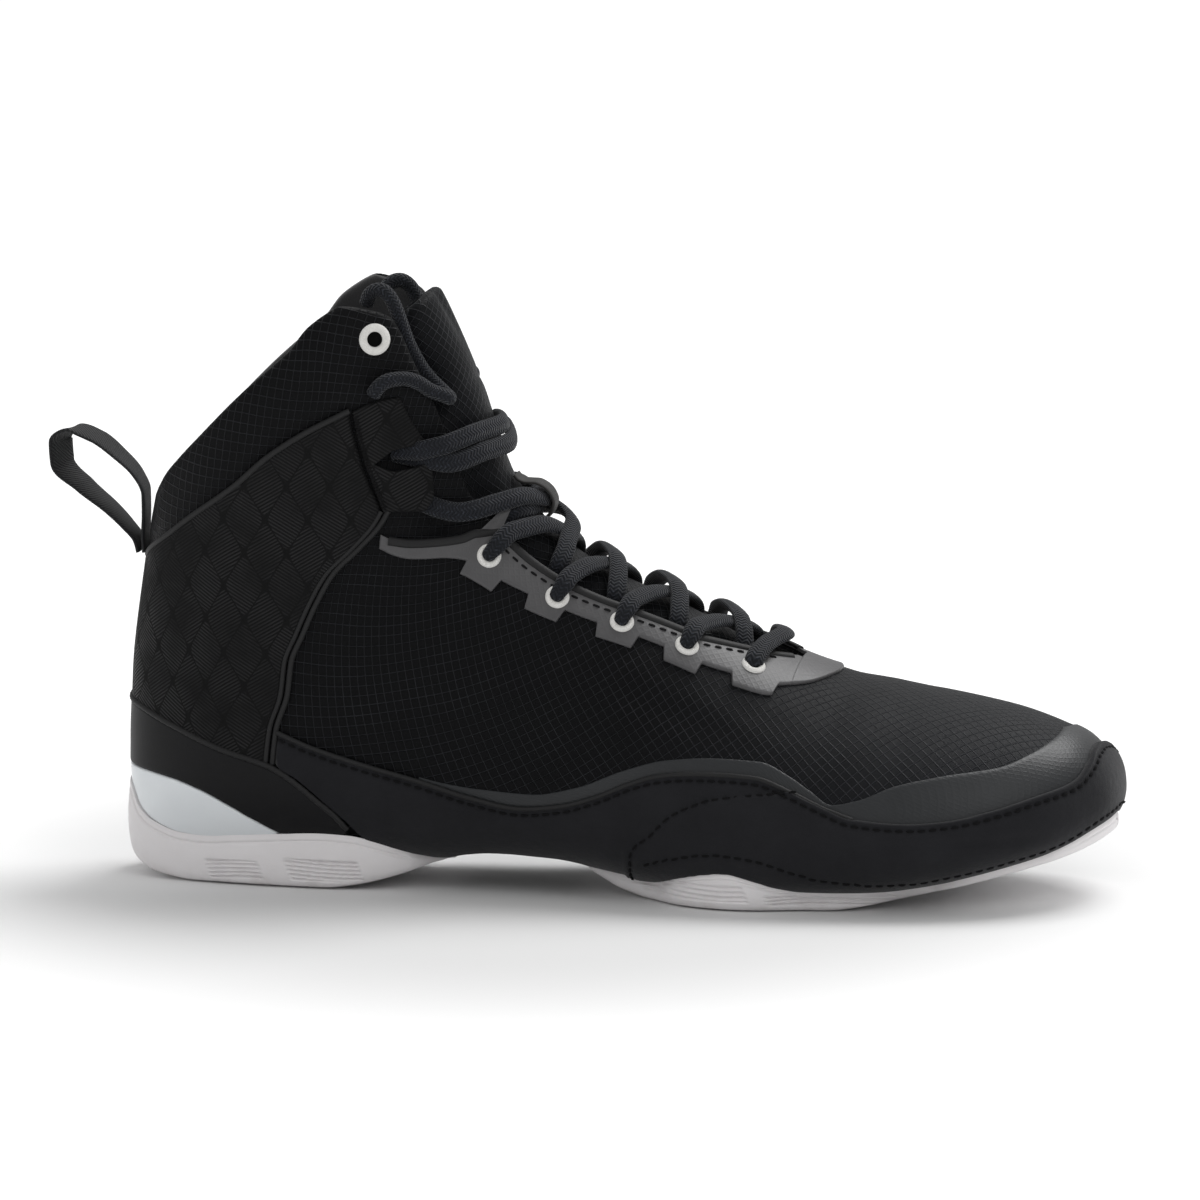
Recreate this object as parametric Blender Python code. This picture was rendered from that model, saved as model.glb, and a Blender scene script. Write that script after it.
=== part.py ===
"""A right wrestling shoe: hollow upper on the last's form, split sole, overlays, tongue, laces and pull loop."""

import math

import bmesh
import bpy
import numpy as np
from mathutils import Vector
from mathutils.bvhtree import BVHTree

for leftover in list(bpy.data.objects):
    bpy.data.objects.remove(leftover)

# Driving sizes, in metres
LENGTH = 0.295
BALL_WIDTH = 0.094
HEEL_WIDTH = 0.064
INSTEP = 0.100
COLLAR_HEIGHT = 0.1815
BACK_HEIGHT = 0.1137
HEEL_SEAT = 0.009
TOE_SPRING = 0.020
WALL = 0.0022
CUFF_WALL = 0.0040
CUFF_PUFF = 0.0014
GAP = 0.00035
FACET = 0.0004
SUEDE = 0.0013
TOE_CAP_STEP = 0.0009
FILM = 0.0009
COUNTER = 0.0012
PANEL = 0.0012
TONGUE = 0.0036
INSOLE = 0.0030
SOLE_LIP = 0.0020
THROAT_GAP = 0.0180
EYELETS = 5
EYELET_INSET = 0.0062
EYELET_HOLE = 0.0032
EYELET_RING = 0.0066
CUFF_EYELET_HOLE = 0.0045
CUFF_EYELET_RING = 0.0094
LACE_WIDTH = 0.0052
LACE_THICKNESS = 0.0026
LOOP_WIDTH = 0.0120
LOOP_THICKNESS = 0.0013

MM = 0.001

# Sections of the last, toe to waist. Shares: under_x and over_x of LENGTH, seat of HEEL_SEAT, spring of TOE_SPRING,
# over_z of INSTEP, outer, inner and ridge of BALL_WIDTH. widest is a share of the section's height.
FORE = np.array([
    # under_x, seat, spring, over_x, over_z, outer, inner, ridge, widest, square_under, square_over
    (0.994, 0.50, 1.325, 0.994, 0.310, 0.053, 0.053, 0.053, 0.50, 2.0, 2.0),
    (0.989, 0.50, 1.045, 0.987, 0.393, -0.096, 0.202, 0.053, 0.42, 2.2, 2.2),
    (0.972, 0.50, 0.805, 0.965, 0.466, -0.207, 0.298, 0.050, 0.36, 2.5, 2.2),
    (0.944, 0.50, 0.620, 0.937, 0.502, -0.309, 0.378, 0.050, 0.32, 2.8, 2.15),
    (0.905, 0.50, 0.440, 0.897, 0.542, -0.388, 0.436, 0.050, 0.30, 3.0, 2.1),
    (0.861, 0.50, 0.275, 0.851, 0.572, -0.445, 0.474, 0.052, 0.28, 3.2, 2.05),
    (0.814, 0.50, 0.145, 0.803, 0.598, -0.479, 0.489, 0.052, 0.27, 3.4, 2.0),
    (0.763, 0.50, 0.045, 0.754, 0.622, -0.496, 0.487, 0.050, 0.26, 3.5, 2.0),
    (0.708, 0.50, 0.000, 0.705, 0.656, -0.500, 0.468, 0.045, 0.25, 3.5, 2.0),
    (0.651, 0.50, 0.000, 0.661, 0.705, -0.489, 0.439, 0.035, 0.25, 3.5, 2.05),
    (0.593, 0.52, 0.000, 0.617, 0.765, -0.466, 0.406, 0.025, 0.25, 3.4, 2.1),
    (0.532, 0.68, 0.000, 0.573, 0.828, -0.436, 0.374, 0.015, 0.26, 3.3, 2.2),
    (0.468, 1.00, 0.000, 0.531, 0.883, -0.404, 0.345, 0.005, 0.27, 3.1, 2.3),
])
# Sections of the last, waist to collar. Shares: back of the rise from seat to BACK_HEIGHT, over_z of INSTEP up to 1
# and of the rest of COLLAR_HEIGHT above 1, outer and inner of HEEL_WIDTH.
REAR = np.array([
    # under_x, seat, back, over_x, over_z, outer, inner, ridge, widest, square_under, square_over
    (0.400, 1.13, 0.000, 0.492, 0.935, -0.556, 0.478, 0.0, 0.28, 3.0, 2.35),
    (0.332, 0.98, 0.000, 0.459, 0.990, -0.531, 0.472, 0.0, 0.29, 3.0, 2.4),
    (0.261, 1.00, 0.000, 0.431, 1.074, -0.516, 0.478, 0.0, 0.29, 3.0, 2.4),
    (0.190, 1.00, 0.000, 0.412, 1.160, -0.506, 0.488, 0.0, 0.30, 3.0, 2.4),
    (0.122, 1.00, 0.000, 0.397, 1.233, -0.500, 0.490, 0.0, 0.31, 2.9, 2.4),
    (0.063, 1.00, 0.004, 0.387, 1.313, -0.492, 0.488, 0.0, 0.34, 2.7, 2.35),
    (0.024, 1.00, 0.053, 0.380, 1.393, -0.484, 0.484, 0.0, 0.38, 2.4, 2.3),
    (0.011, 1.00, 0.162, 0.372, 1.476, -0.481, 0.481, 0.0, 0.42, 2.2, 2.3),
    (0.009, 1.00, 0.287, 0.364, 1.562, -0.481, 0.481, 0.0, 0.45, 2.15, 2.3),
    (0.010, 1.00, 0.411, 0.354, 1.650, -0.484, 0.484, 0.0, 0.47, 2.1, 2.3),
    (0.012, 1.00, 0.535, 0.344, 1.736, -0.490, 0.490, 0.0, 0.48, 2.1, 2.25),
    (0.017, 1.00, 0.659, 0.334, 1.816, -0.497, 0.497, 0.0, 0.49, 2.1, 2.2),
    (0.023, 1.00, 0.783, 0.324, 1.890, -0.503, 0.503, 0.0, 0.50, 2.1, 2.2),
    (0.028, 1.00, 0.893, 0.314, 1.951, -0.509, 0.509, 0.0, 0.50, 2.1, 2.2),
    (0.030, 1.00, 1.000, 0.305, 2.000, -0.516, 0.516, 0.0, 0.50, 2.1, 2.2),
])
TOP_ROW = len(FORE) + len(REAR) - 1
THROAT_ROW = 8.55
CUFF_ROW = 25.3
# Rise of the collar's top line above its chord, along the chord from back to front
TOP_LINE = np.array([(0.0, 0.0), (0.10, 3.4), (0.25, 5.2), (0.45, 7.0), (0.60, 7.4), (0.70, 9.4),
                     (0.79, 8.6), (0.90, 3.0), (1.0, 0.0)]) * (1.0, MM)


def smooth(at, knots, values):
    """Monotone cubic through the knots: each knot's slope is the harmonic mean of the slopes beside it."""
    knots = np.asarray(knots, float)
    values = np.asarray(values, float)
    steps = np.diff(knots)
    rise = np.diff(values) / steps
    product = rise[:-1] * rise[1:]
    total = rise[:-1] + rise[1:]
    mean = np.where(product > 0, 2 * product / np.where(product > 0, total, 1.0), 0.0)
    slopes = np.concatenate([[rise[0]], mean, [rise[-1]]])
    at = np.clip(at, knots[0], knots[-1])
    k = np.clip(np.searchsorted(knots, at, side="right") - 1, 0, len(steps) - 1)
    t = (at - knots[k]) / steps[k]
    a = values[k] * (1 + 2 * t) * (1 - t) ** 2
    b = steps[k] * slopes[k] * t * (1 - t) ** 2
    c = values[k + 1] * t * t * (3 - 2 * t)
    d = steps[k] * slopes[k + 1] * t * t * (t - 1)
    return a + b + c + d


def section_rows():
    """Each section in metres: under (x, z), over (x, z), outer, inner and ridge y, widest and the two squareness."""
    rise = COLLAR_HEIGHT - INSTEP
    fore = np.empty((len(FORE), 10))
    fore[:, 0] = FORE[:, 0] * LENGTH
    fore[:, 1] = FORE[:, 1] * HEEL_SEAT + FORE[:, 2] * TOE_SPRING
    rear = np.empty((len(REAR), 10))
    rear[:, 0] = REAR[:, 0] * LENGTH
    rear[:, 1] = REAR[:, 1] * HEEL_SEAT + REAR[:, 2] * (BACK_HEIGHT - HEEL_SEAT)
    for rows, table, width in ((fore, FORE, BALL_WIDTH), (rear, REAR, HEEL_WIDTH)):
        rows[:, 2] = table[:, 3] * LENGTH
        rows[:, 3] = np.minimum(table[:, 4], 1) * INSTEP + np.maximum(table[:, 4] - 1, 0) * rise
        rows[:, 4:7] = table[:, 5:8] * width
        rows[:, 7:10] = table[:, 8:11]
    return np.concatenate([fore, rear])


ROWS = section_rows()
BEYOND = ROWS[1].copy()
BEYOND[[1, 3, 4, 5]] = ROWS[1][[3, 1, 5, 4]]
PADDED_ROWS = np.concatenate([[BEYOND], ROWS, [2 * ROWS[-1] - ROWS[-2]]])


def section(u):
    """The last's section at row u, by a Catmull-Rom curve through the rows, even over the toe tip."""
    k = int(min(max(math.floor(u), 0), TOP_ROW - 1))
    t = u - k
    p0, p1, p2, p3 = PADDED_ROWS[k:k + 4]
    bend = 2 * p0 - 5 * p1 + 4 * p2 - p3
    twist = 3 * p1 - p0 - 3 * p2 + p3
    return 0.5 * (2 * p1 + (p2 - p0) * t + bend * t * t + twist * t ** 3)


ANGLES = np.linspace(0, math.pi, 181)


def half_ring(u, side):
    """Half of a section, sole to instep: a superellipse, squarer below its widest point than above it."""
    under_x, under_z, over_x, over_z, outer, inner, ridge, widest, square_under, square_over = section(u)
    lower = ANGLES <= math.pi / 2
    square = np.where(lower, square_under, square_over + (0.2 if side > 0 else 0.0))
    cosine = np.abs(np.cos(ANGLES)) ** (2 / square)
    sine = np.abs(np.sin(ANGLES)) ** (2 / square)
    share = np.where(lower, widest * (1 - cosine), widest + (1 - widest) * cosine)
    along = np.array([over_x - under_x, over_z - under_z])
    length = max(np.hypot(*along), 1e-9)
    up_back = np.array([-along[1], along[0]]) / length
    bow = smooth(share, TOP_LINE[:, 0], TOP_LINE[:, 1]) * np.clip((u - 20) / (TOP_ROW - 20), 0, 1) ** 2.4
    x = under_x + along[0] * share + up_back[0] * bow
    z = under_z + along[1] * share + up_back[1] * bow
    reach = (ridge - outer) if side < 0 else (inner - ridge)
    return np.stack([x, ridge + side * reach * sine, z], axis=1)


def measured(ring):
    """Arc length from the first point of a ring to each of its points."""
    return np.concatenate([[0], np.cumsum(np.linalg.norm(np.diff(ring, axis=0), axis=1))])


def along_ring(ring, arcs):
    """Points of a ring at the given arc lengths."""
    total = measured(ring)
    return np.stack([np.interp(arcs, total, ring[:, axis]) for axis in range(3)], axis=1)


def throat_half(u):
    """Half of the throat's opening at row u, zero ahead of its round end."""
    open_share = min(max(0.05, (u - THROAT_ROW) / 2.1), 1)
    return THROAT_GAP * (math.sqrt(open_share) + 0.030 * max(u - 19, 0) + 0.16 * max(u - 25.6, 0) ** 2)


def throat_arc(u, side):
    """Arc length from the sole's centre to the throat's edge."""
    ring = half_ring(u, side)
    total = measured(ring)
    over = ANGLES > math.pi / 2
    away = np.abs(ring[over, 1] - section(u)[6])
    return float(np.interp(-throat_half(u), -away, total[over]))


def grid_normals(points, wrap):
    """Unit normals of a grid of points from the differences of its neighbours."""
    if wrap:
        ahead = np.roll(points, -1, axis=1) - np.roll(points, 1, axis=1)
    else:
        ahead = np.gradient(points, axis=1)
    normal = np.cross(ahead, np.gradient(points, axis=0))
    return normal / np.maximum(np.linalg.norm(normal, axis=2, keepdims=True), 1e-12)


def finish(name, points, faces, color, roughness, metallic=0.0):
    """An object from points and faces: doubles merged, faces turned out, smooth, with its own material."""
    mesh = bpy.data.meshes.new(name)
    work = bmesh.new()
    made = [work.verts.new(Vector(point)) for point in points]
    for face in faces:
        work.faces.new([made[index] for index in face])
    bmesh.ops.remove_doubles(work, verts=work.verts, dist=1e-6)
    bmesh.ops.recalc_face_normals(work, faces=work.faces)
    bmesh.ops.triangulate(work, faces=work.faces)
    work.to_mesh(mesh)
    work.free()
    mesh.shade_smooth()
    mesh.set_sharp_from_angle(angle=math.radians(40))
    piece = bpy.data.objects.new(name, mesh)
    bpy.context.collection.objects.link(piece)
    material = bpy.data.materials.new(name)
    material.use_nodes = True
    shader = material.node_tree.nodes["Principled BSDF"]
    shader.inputs["Base Color"].default_value = (*color, 1)
    shader.inputs["Roughness"].default_value = roughness
    shader.inputs["Metallic"].default_value = metallic
    mesh.materials.append(material)
    return piece


def shell(name, outside, inside, color, roughness, keep=None, wrap=False):
    """A closed solid between two grids, with a rim along each edge of the cells that are kept."""
    rows, columns = outside.shape[:2]
    spans = columns if wrap else columns - 1
    if keep is None:
        keep = np.ones((rows - 1, spans), bool)
    points = np.concatenate([outside.reshape(-1, 3), inside.reshape(-1, 3)])
    offset = rows * columns
    faces = []
    borders = {}
    for i, j in np.argwhere(keep):
        right = (j + 1) % columns
        corners = [i * columns + j, (i + 1) * columns + j, (i + 1) * columns + right, i * columns + right]
        faces.append(corners)
        faces.append([offset + c for c in reversed(corners)])
        for a, b in zip(corners, corners[1:] + corners[:1]):
            if (b, a) in borders:
                del borders[(b, a)]
            else:
                borders[(a, b)] = True
    faces += [[b, a, offset + a, offset + b] for a, b in borders]
    used = {}
    kept = []
    for face in faces:
        corner_keys = [tuple(np.round(points[c] * 1e6).astype(int)) for c in face]
        if len(set(corner_keys)) < 3:
            continue
        clean = [c for n, c in enumerate(face) if corner_keys[n] != corner_keys[n - 1]]
        kept.append([used.setdefault(corner_keys[face.index(c)], len(used)) for c in clean])
    order = np.array(list(used), float) * 1e-6
    return finish(name, order, kept, color, roughness)


# The form that every overlay and sole is laid on
FORM_ROWS = np.concatenate([np.linspace(0.02, 3, 34), np.linspace(3, TOP_ROW, 150)[1:]])
FORM_COLUMNS = 60


def form_grid():
    """The whole last as a fine grid, wrapped round each section."""
    grid = []
    for u in FORM_ROWS:
        outer, inner = half_ring(u, -1), half_ring(u, 1)
        shares = np.linspace(0, 1, FORM_COLUMNS + 1)
        left = along_ring(outer, shares * measured(outer)[-1])
        right = along_ring(inner, shares[::-1] * measured(inner)[-1])
        grid.append(np.concatenate([left, right[1:-1]]))
    return np.array(grid)


FORM = form_grid()
WIDE = FORM.shape[1]
FORM_FACES = [
    (i * WIDE + j, (i + 1) * WIDE + j, (i + 1) * WIDE + (j + 1) % WIDE, i * WIDE + (j + 1) % WIDE)
    for i in range(len(FORM) - 1) for j in range(WIDE)
]
TIP_FACE = tuple(range(WIDE))
TREE = BVHTree.FromPolygons(FORM.reshape(-1, 3).tolist(), FORM_FACES + [TIP_FACE])


def cast(start, toward):
    """Where a ray meets the last, and the way out of it there."""
    place, normal, _, _ = TREE.ray_cast(Vector(start), Vector(toward))
    if place is None:
        place, normal, _, _ = TREE.find_nearest(Vector(start) + Vector(toward) * 0.2)
    if normal.dot(Vector(toward)) > 0:
        normal = -normal
    return np.array(place), np.array(normal)


HEEL_TURN = 0.119 * LENGTH
TOE_TURN = 0.830 * LENGTH
HEEL_RADIUS = 0.508 * HEEL_WIDTH
TOE_RADIUS = 0.511 * BALL_WIDTH
TOE_SHIFT = 0.032 * BALL_WIDTH


def wrap_spot(s, z, side):
    """Where the last is met at height z, at s along one side: round the heel, straight along, and round the toe."""
    if s < HEEL_TURN:
        angle = (HEEL_TURN - s) / HEEL_RADIUS
        out = np.array([-math.sin(angle), side * math.cos(angle), 0])
        centre = np.array([HEEL_TURN, 0, z])
    elif s > TOE_TURN:
        angle = (s - TOE_TURN) / TOE_RADIUS
        out = np.array([math.sin(angle), side * math.cos(angle), 0])
        centre = np.array([TOE_TURN, TOE_SHIFT, z])
    else:
        out = np.array([0, side, 0])
        centre = np.array([s, 0, z])
    place, normal = cast(centre + out * 0.2, -out)
    return place, normal, out


def edge(points, shares):
    """A smooth line through hand-chosen (s, z) points, at shares of its length, or at that many even steps."""
    points = np.array(points, float)
    total = measured(points)
    fine = np.linspace(0, total[-1], 200)
    line = np.stack([smooth(fine, total, points[:, axis]) for axis in (0, 1)], axis=1)
    travelled = measured(line)
    shares = np.linspace(0, 1, shares) if np.isscalar(shares) else np.asarray(shares)
    at = shares * travelled[-1]
    return np.stack([np.interp(at, travelled, line[:, axis]) for axis in (0, 1)], axis=1)


def patch(lower, upper, first, last, rise=None):
    """Coons patch in (s, z): lower and upper edges share their corners with the first and last edges."""
    a = np.linspace(0, 1, len(lower))[:, None, None]
    f = (np.linspace(0, 1, len(first)) if rise is None else rise)[None, :, None]
    ruled = (1 - f) * lower[:, None] + f * upper[:, None] + (1 - a) * first[None] + a * last[None]
    corners = (1 - a) * ((1 - f) * lower[0] + f * upper[0]) + a * ((1 - f) * lower[-1] + f * upper[-1])
    return ruled - corners


def straight(start, end, count):
    """Evenly spaced (s, z) points from start to end."""
    return np.linspace(start, end, count)


def laid(flat, side):
    """A patch of (s, z) laid on one side of the last: places and normals."""
    places = np.empty((*flat.shape[:2], 3))
    normals = np.empty_like(places)
    for i in range(flat.shape[0]):
        for j in range(flat.shape[1]):
            places[i, j], normals[i, j], _ = wrap_spot(flat[i, j, 0], flat[i, j, 1], side)
    return places, normals


def overlay(name, places, normals, thickness, color, roughness, lift=GAP + FACET / 2):
    """A plate of the given thickness on the last, GAP clear of it, thinner along its edges."""
    depth = np.full(places.shape[:2], 1.0) * thickness
    depth[[0, -1], :] *= 0.8
    depth[:, [0, -1]] *= 0.8
    inside = places + normals * lift
    outside = inside + normals * depth[..., None]
    return shell(name, outside, inside, color, roughness)


def both_sides(flat, start_at_heel=True):
    """A patch that begins at the heel's or the toe's centre line, laid on both sides and joined there."""
    left, left_normals = laid(flat, -1)
    right, right_normals = laid(flat, 1)
    if start_at_heel:
        places = np.concatenate([left[::-1], right[1:]])
        normals = np.concatenate([left_normals[::-1], right_normals[1:]])
    else:
        places = np.concatenate([left, right[-2::-1]])
        normals = np.concatenate([left_normals, right_normals[-2::-1]])
    return places, normals


BLACK = (0.012, 0.012, 0.013)
CLOTH = (0.014, 0.015, 0.018)
FILM_GREY = (0.055, 0.055, 0.057)
SUEDE_BLACK = (0.016, 0.016, 0.017)
WHITE = (0.80, 0.82, 0.84)
RUBBER = (0.76, 0.73, 0.74)
LACE = (0.012, 0.014, 0.019)


# Upper: a hollow shell on the last, open at collar and throat, and over the two sole units
UNDER_CELLS = 1
SIDE_SHARES = np.array([0, 0.05, 0.10, 0.155, 0.22, 0.32, 0.45, 0.59, 0.73, 0.87, 1.0])
SIDE_CELLS = len(SIDE_SHARES) - 1
OVER_CELLS = 1
UPPER_ROWS = np.array([
    0.02, 0.5, 1.0, 1.6, 2.3, 3.1, 4.1, 5.2, 6.4, 7.6, THROAT_ROW, 8.9, 9.5, 10.4, 11.2, 12.0, 12.8, 13.4, 14.0,
    15.0, 16.2, 17.3, 18.0, 18.5, 19.0, 19.5, 20.2, 21.2, 22.4, 23.6, 24.8, CUFF_ROW, 25.5, 25.9, 26.5, TOP_ROW,
])
MARGIN = 0.30


def upper_row(u):
    """One row of the upper, from the sole's centre round the outer side, over the throat and back."""
    halves = []
    for side in (-1, 1):
        ring = half_ring(u, side)
        total = measured(ring)[-1]
        edge_arc = throat_arc(u, side)
        lasting = MARGIN * (section(u)[5] - section(u)[4])
        arcs = np.concatenate([
            np.linspace(0, lasting, UNDER_CELLS + 1)[:-1],
            lasting + (edge_arc - lasting) * SIDE_SHARES,
            np.linspace(edge_arc, total, OVER_CELLS + 1)[1:],
        ])
        halves.append(along_ring(ring, arcs))
    return np.concatenate([halves[0], halves[1][-2:0:-1]])


def upper_face():
    """The upper's outer face, the way out of it, and its wall at each row."""
    grid = np.array([upper_row(u) for u in UPPER_ROWS])
    normal = grid_normals(grid, True)
    puff = np.interp(UPPER_ROWS, [CUFF_ROW, 25.5, 26.5, TOP_ROW], [0, CUFF_PUFF, CUFF_PUFF, 0.3 * CUFF_PUFF])
    wall = np.interp(UPPER_ROWS, [24, 25.5, 26.5, TOP_ROW], [WALL, CUFF_WALL, CUFF_WALL, 0.55 * CUFF_WALL])
    return grid + normal * puff[:, None, None], normal, wall


def make_upper():
    outside, normal, wall = upper_face()
    inside = outside - normal * wall[:, None, None]
    inside[0] = inside[0].mean(axis=0) - np.array([WALL, 0, 0])
    outside[0] = outside[0].mean(axis=0)
    half = UNDER_CELLS + SIDE_CELLS + OVER_CELLS
    keep = np.ones((len(UPPER_ROWS) - 1, outside.shape[1]), bool)
    middle = (UPPER_ROWS[:-1] + UPPER_ROWS[1:]) / 2
    over_fore = (middle > 3.6) & (middle < 10.9)
    over_heel = (middle > 14.9) & (middle < 18.0)
    throat = UPPER_ROWS[:-1] >= THROAT_ROW
    for j in range(UNDER_CELLS):
        keep[over_fore | over_heel, j] = False
        keep[over_fore | over_heel, -1 - j] = False
    for j in range(half - OVER_CELLS, half + OVER_CELLS):
        keep[throat, j] = False
    return shell("upper", outside, inside, CLOTH, 0.6, keep, wrap=True)


make_upper()


# Heel unit and forefoot unit of the sole: edges in (s, z)
HEEL_LIP = np.array([(-16.1, 27.6), (-9.0, 26.6), (-2.0, 20.5), (5.0, 17.0), (14, 14.8), (24, 14.4), (36, 15.2),
                     (51, 16.4), (62, 17.0), (71, 16.6), (79, 14.7), (89, 11.8), (97, 10.4), (100, 10.2)]) * MM
HEEL_TREAD = np.array([(0, 6.0), (5, 3.2), (12, 1.2), (22, 0.0), (62, 0.0), (74, 1.6), (86, 4.6), (95, 7.6),
                       (104, 9.0)]) * MM
FORE_LIP = np.array([(138, 11.4), (146, 9.0), (160.7, 7.6), (171.8, 9.9), (179, 11.2), (186.4, 11.8), (193.6, 10.4),
                     (201, 8.6), (209, 7.6), (231, 7.6), (245, 9.3), (260, 11.9), (275, 14.6), (287, 17.2),
                     (295, 19.8), (307, 23.4), (320.4, 25.4)]) * MM
FORE_TREAD = np.array([(136, 10.6), (144, 5.4), (153, 1.6), (162, 0.0), (214, 0.0), (231, 1.9), (245, 4.7),
                       (258.6, 8.1), (272, 11.6), (281.6, 14.4), (288, 16.8), (296, 21.0)]) * MM
# Side profile of a sole unit, lip to tread: out is metres past the last, up is a share of the side's height
SIDE = np.array([(0.9, 1.00), (1.1, 0.78), (0.7, 0.71), (0.7, 0.61), (1.18, 0.54), (0.72, 0.47), (0.72, 0.37),
                 (1.1, 0.30), (0.85, 0.18), (0.1, 0.06), (-1.6, 0.0)])
PLAIN_SIDE = np.array([0.9, 1.1, 1.15, 1.2, 1.2, 1.17, 1.1, 1.0, 0.75, 0.1, -1.6])
ACROSS = 3


def sole_unit(name, stations, pinch, lip, tread, panels, inner_steps):
    """A sole unit: spokes round its outline, each from the lip down its ribbed side, with a ladder across between."""
    spokes = []
    for side in (-1, 1):
        row = []
        for s in stations:
            top = float(smooth(s, lip[:, 0], lip[:, 1]))
            row.append((side, s, top))
        spokes.append(row)
    columns = []
    for (side, s, top) in spokes[0] + spokes[1][::-1]:
        place, normal, out = wrap_spot(s, top, side)
        share = float(np.interp(s, pinch[:, 0], pinch[:, 1]))
        if share < 1:
            place, normal = cast((place[0], place[1] * share, -0.05), (0, 0, 1))
            top = place[2] - GAP
        low = min(float(smooth(place[0], tread[:, 0], tread[:, 1])), top - 0.9 * MM)
        high = top - low
        shrink = min(1.0, high / (6 * MM))
        ribbed = any(a < s < b for a, b in panels)
        outs = SIDE[:, 0] if ribbed else PLAIN_SIDE
        profile = []
        for o, up in zip(outs, SIDE[:, 1]):
            at = place + out * (GAP + o * SOLE_LIP * shrink)
            profile.append((at[0], at[1], low + up * high))
        lips = place + normal * GAP
        inner = [lips]
        for depth in inner_steps:
            under = lips - out * depth
            hit, up_normal = cast((under[0], under[1], -0.05), (0, 0, 1))
            inner.append(hit + up_normal * (GAP + 0.15 * MM))
        columns.append((profile[::-1], inner))
    count = len(stations)
    outer_rows = np.array([np.array(column[0]) for column in columns])
    inner_rows = np.array([np.array(column[1]) for column in columns])
    strips = []
    for i in range(count):
        j = 2 * count - 1 - i
        a, b = outer_rows[i, 0], outer_rows[j, 0]
        bottom = [a + (b - a) * t for t in np.linspace(0, 1, ACROSS + 1)[1:-1]]
        for point in bottom:
            point[2] = (a[2] + b[2]) / 2
        c, d = inner_rows[i, -1], inner_rows[j, -1]
        top = []
        for t in np.linspace(0, 1, ACROSS + 1)[1:-1]:
            under = c + (d - c) * t
            hit, up_normal = cast((under[0], under[1], -0.05), (0, 0, 1))
            top.append(hit + up_normal * (GAP + 0.15 * MM))
        strips.append([*inner_rows[i], *top, *inner_rows[j, ::-1], *outer_rows[j, ::-1], *bottom[::-1],
                       *outer_rows[i]])
    rings = np.array(strips)
    rows, wide = rings.shape[:2]
    points = rings.reshape(-1, 3)
    faces = [
        (i * wide + j, (i + 1) * wide + j, (i + 1) * wide + (j + 1) % wide, i * wide + (j + 1) % wide)
        for i in range(rows - 1) for j in range(wide)
    ]
    faces.append(tuple(range(wide)))
    faces.append(tuple(range((rows - 1) * wide, rows * wide)))
    return finish(name, points, faces, RUBBER, 0.55)


HEEL_STATIONS = np.array([-15.9, -11, -5, 1, 7, 14, 21, 26, 27.5, 35, 41, 42.5, 49, 50.5, 59, 66, 68, 76, 85, 92, 96.5,
                          99.5]) * MM
HEEL_PINCH = np.array([(88, 1000), (92, 960), (96.5, 850), (99.5, 600)]) * MM
sole_unit("outsole_heel", HEEL_STATIONS, HEEL_PINCH, HEEL_LIP, HEEL_TREAD, ((27 * MM, 42 * MM), (50 * MM, 67 * MM)),
          (0.5 * MM, 1.8 * MM, 4.5 * MM, 9 * MM))
FORE_STATIONS = np.array([139, 141, 145, 151, 157, 158.5, 165, 171.5, 173, 179, 186, 187.5, 195, 202, 204, 213, 223, 233,
                          243, 253, 262, 271, 280, 289, 297, 305, 312, 318.5]) * MM
FORE_PINCH = np.array([(139, 550), (141, 820), (145, 960), (150, 1000)]) * MM
sole_unit("outsole_forefoot", FORE_STATIONS, FORE_PINCH, FORE_LIP, FORE_TREAD,
          ((158 * MM, 172 * MM), (187 * MM, 203 * MM)), (1.5 * MM, 4 * MM, 9 * MM, 17 * MM))


# Insole: a sheet over the lasting margin, on the upper's own inner face
INSOLE_COLUMNS = UNDER_CELLS + 2


def make_insole():
    face, normal, wall = upper_face()
    rows = (UPPER_ROWS > 1.5) & (UPPER_ROWS < 18.2)
    columns = np.arange(-INSOLE_COLUMNS, INSOLE_COLUMNS + 1)
    seat, out = face[rows][:, columns], normal[rows][:, columns]
    lower = seat - out * (wall[rows][:, None, None] + GAP)
    upper = lower - out * INSOLE
    shell("insole", upper, lower, (0.02, 0.02, 0.022), 0.85)


make_insole()


def over_spot(u, arc):
    """A point of the last at arc metres from its instep line along row u, outer side negative, and the way out."""
    step = 0.5 * MM

    def at(row, distance):
        side = -1 if distance < 0 else 1
        ring = half_ring(row, side)
        return along_ring(ring, [measured(ring)[-1] - abs(distance)])[0]

    place = at(u, arc)
    ahead = at(min(u + 0.1, TOP_ROW), arc) - at(max(u - 0.1, 0), arc)
    across = at(u, arc + step) - at(u, arc - step)
    normal = np.cross(across, ahead)
    return place, normal / np.linalg.norm(normal)


def edge_arc(u, side=-1):
    """Arc length from the instep line to the throat's edge at row u."""
    return float(measured(half_ring(u, side))[-1] - throat_arc(u, side))


# Tongue: a padded tab under the throat, leaning in from the collar where the lace ends are tucked
TONGUE_ROWS = np.array([7.7, 8.3, 9.2, 10.5, 12, 13.5, 15, 16.5, 18, 19.5, 21, 22.3, 23.6, 24.9, 25.6, 25.9])
TONGUE_COLUMNS = np.linspace(-1, 1, 9)
TUCK = 0.0048


def tongue_depth(u, share):
    """How far below the last the tongue's face lies: deepest beside the collar, proud in the middle of the throat."""
    hidden = np.clip((abs(share) - 0.35) / 0.35, 0, 1)
    tuck = TUCK * hidden ** 2 * np.clip((u - 20.5) / 2.5, 0, 1)
    crown = 0.0013 * (1 - hidden) * np.clip((u - 9) / 3, 0, 1)
    return WALL + GAP + FACET * (1 + hidden) + tuck - crown


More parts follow.
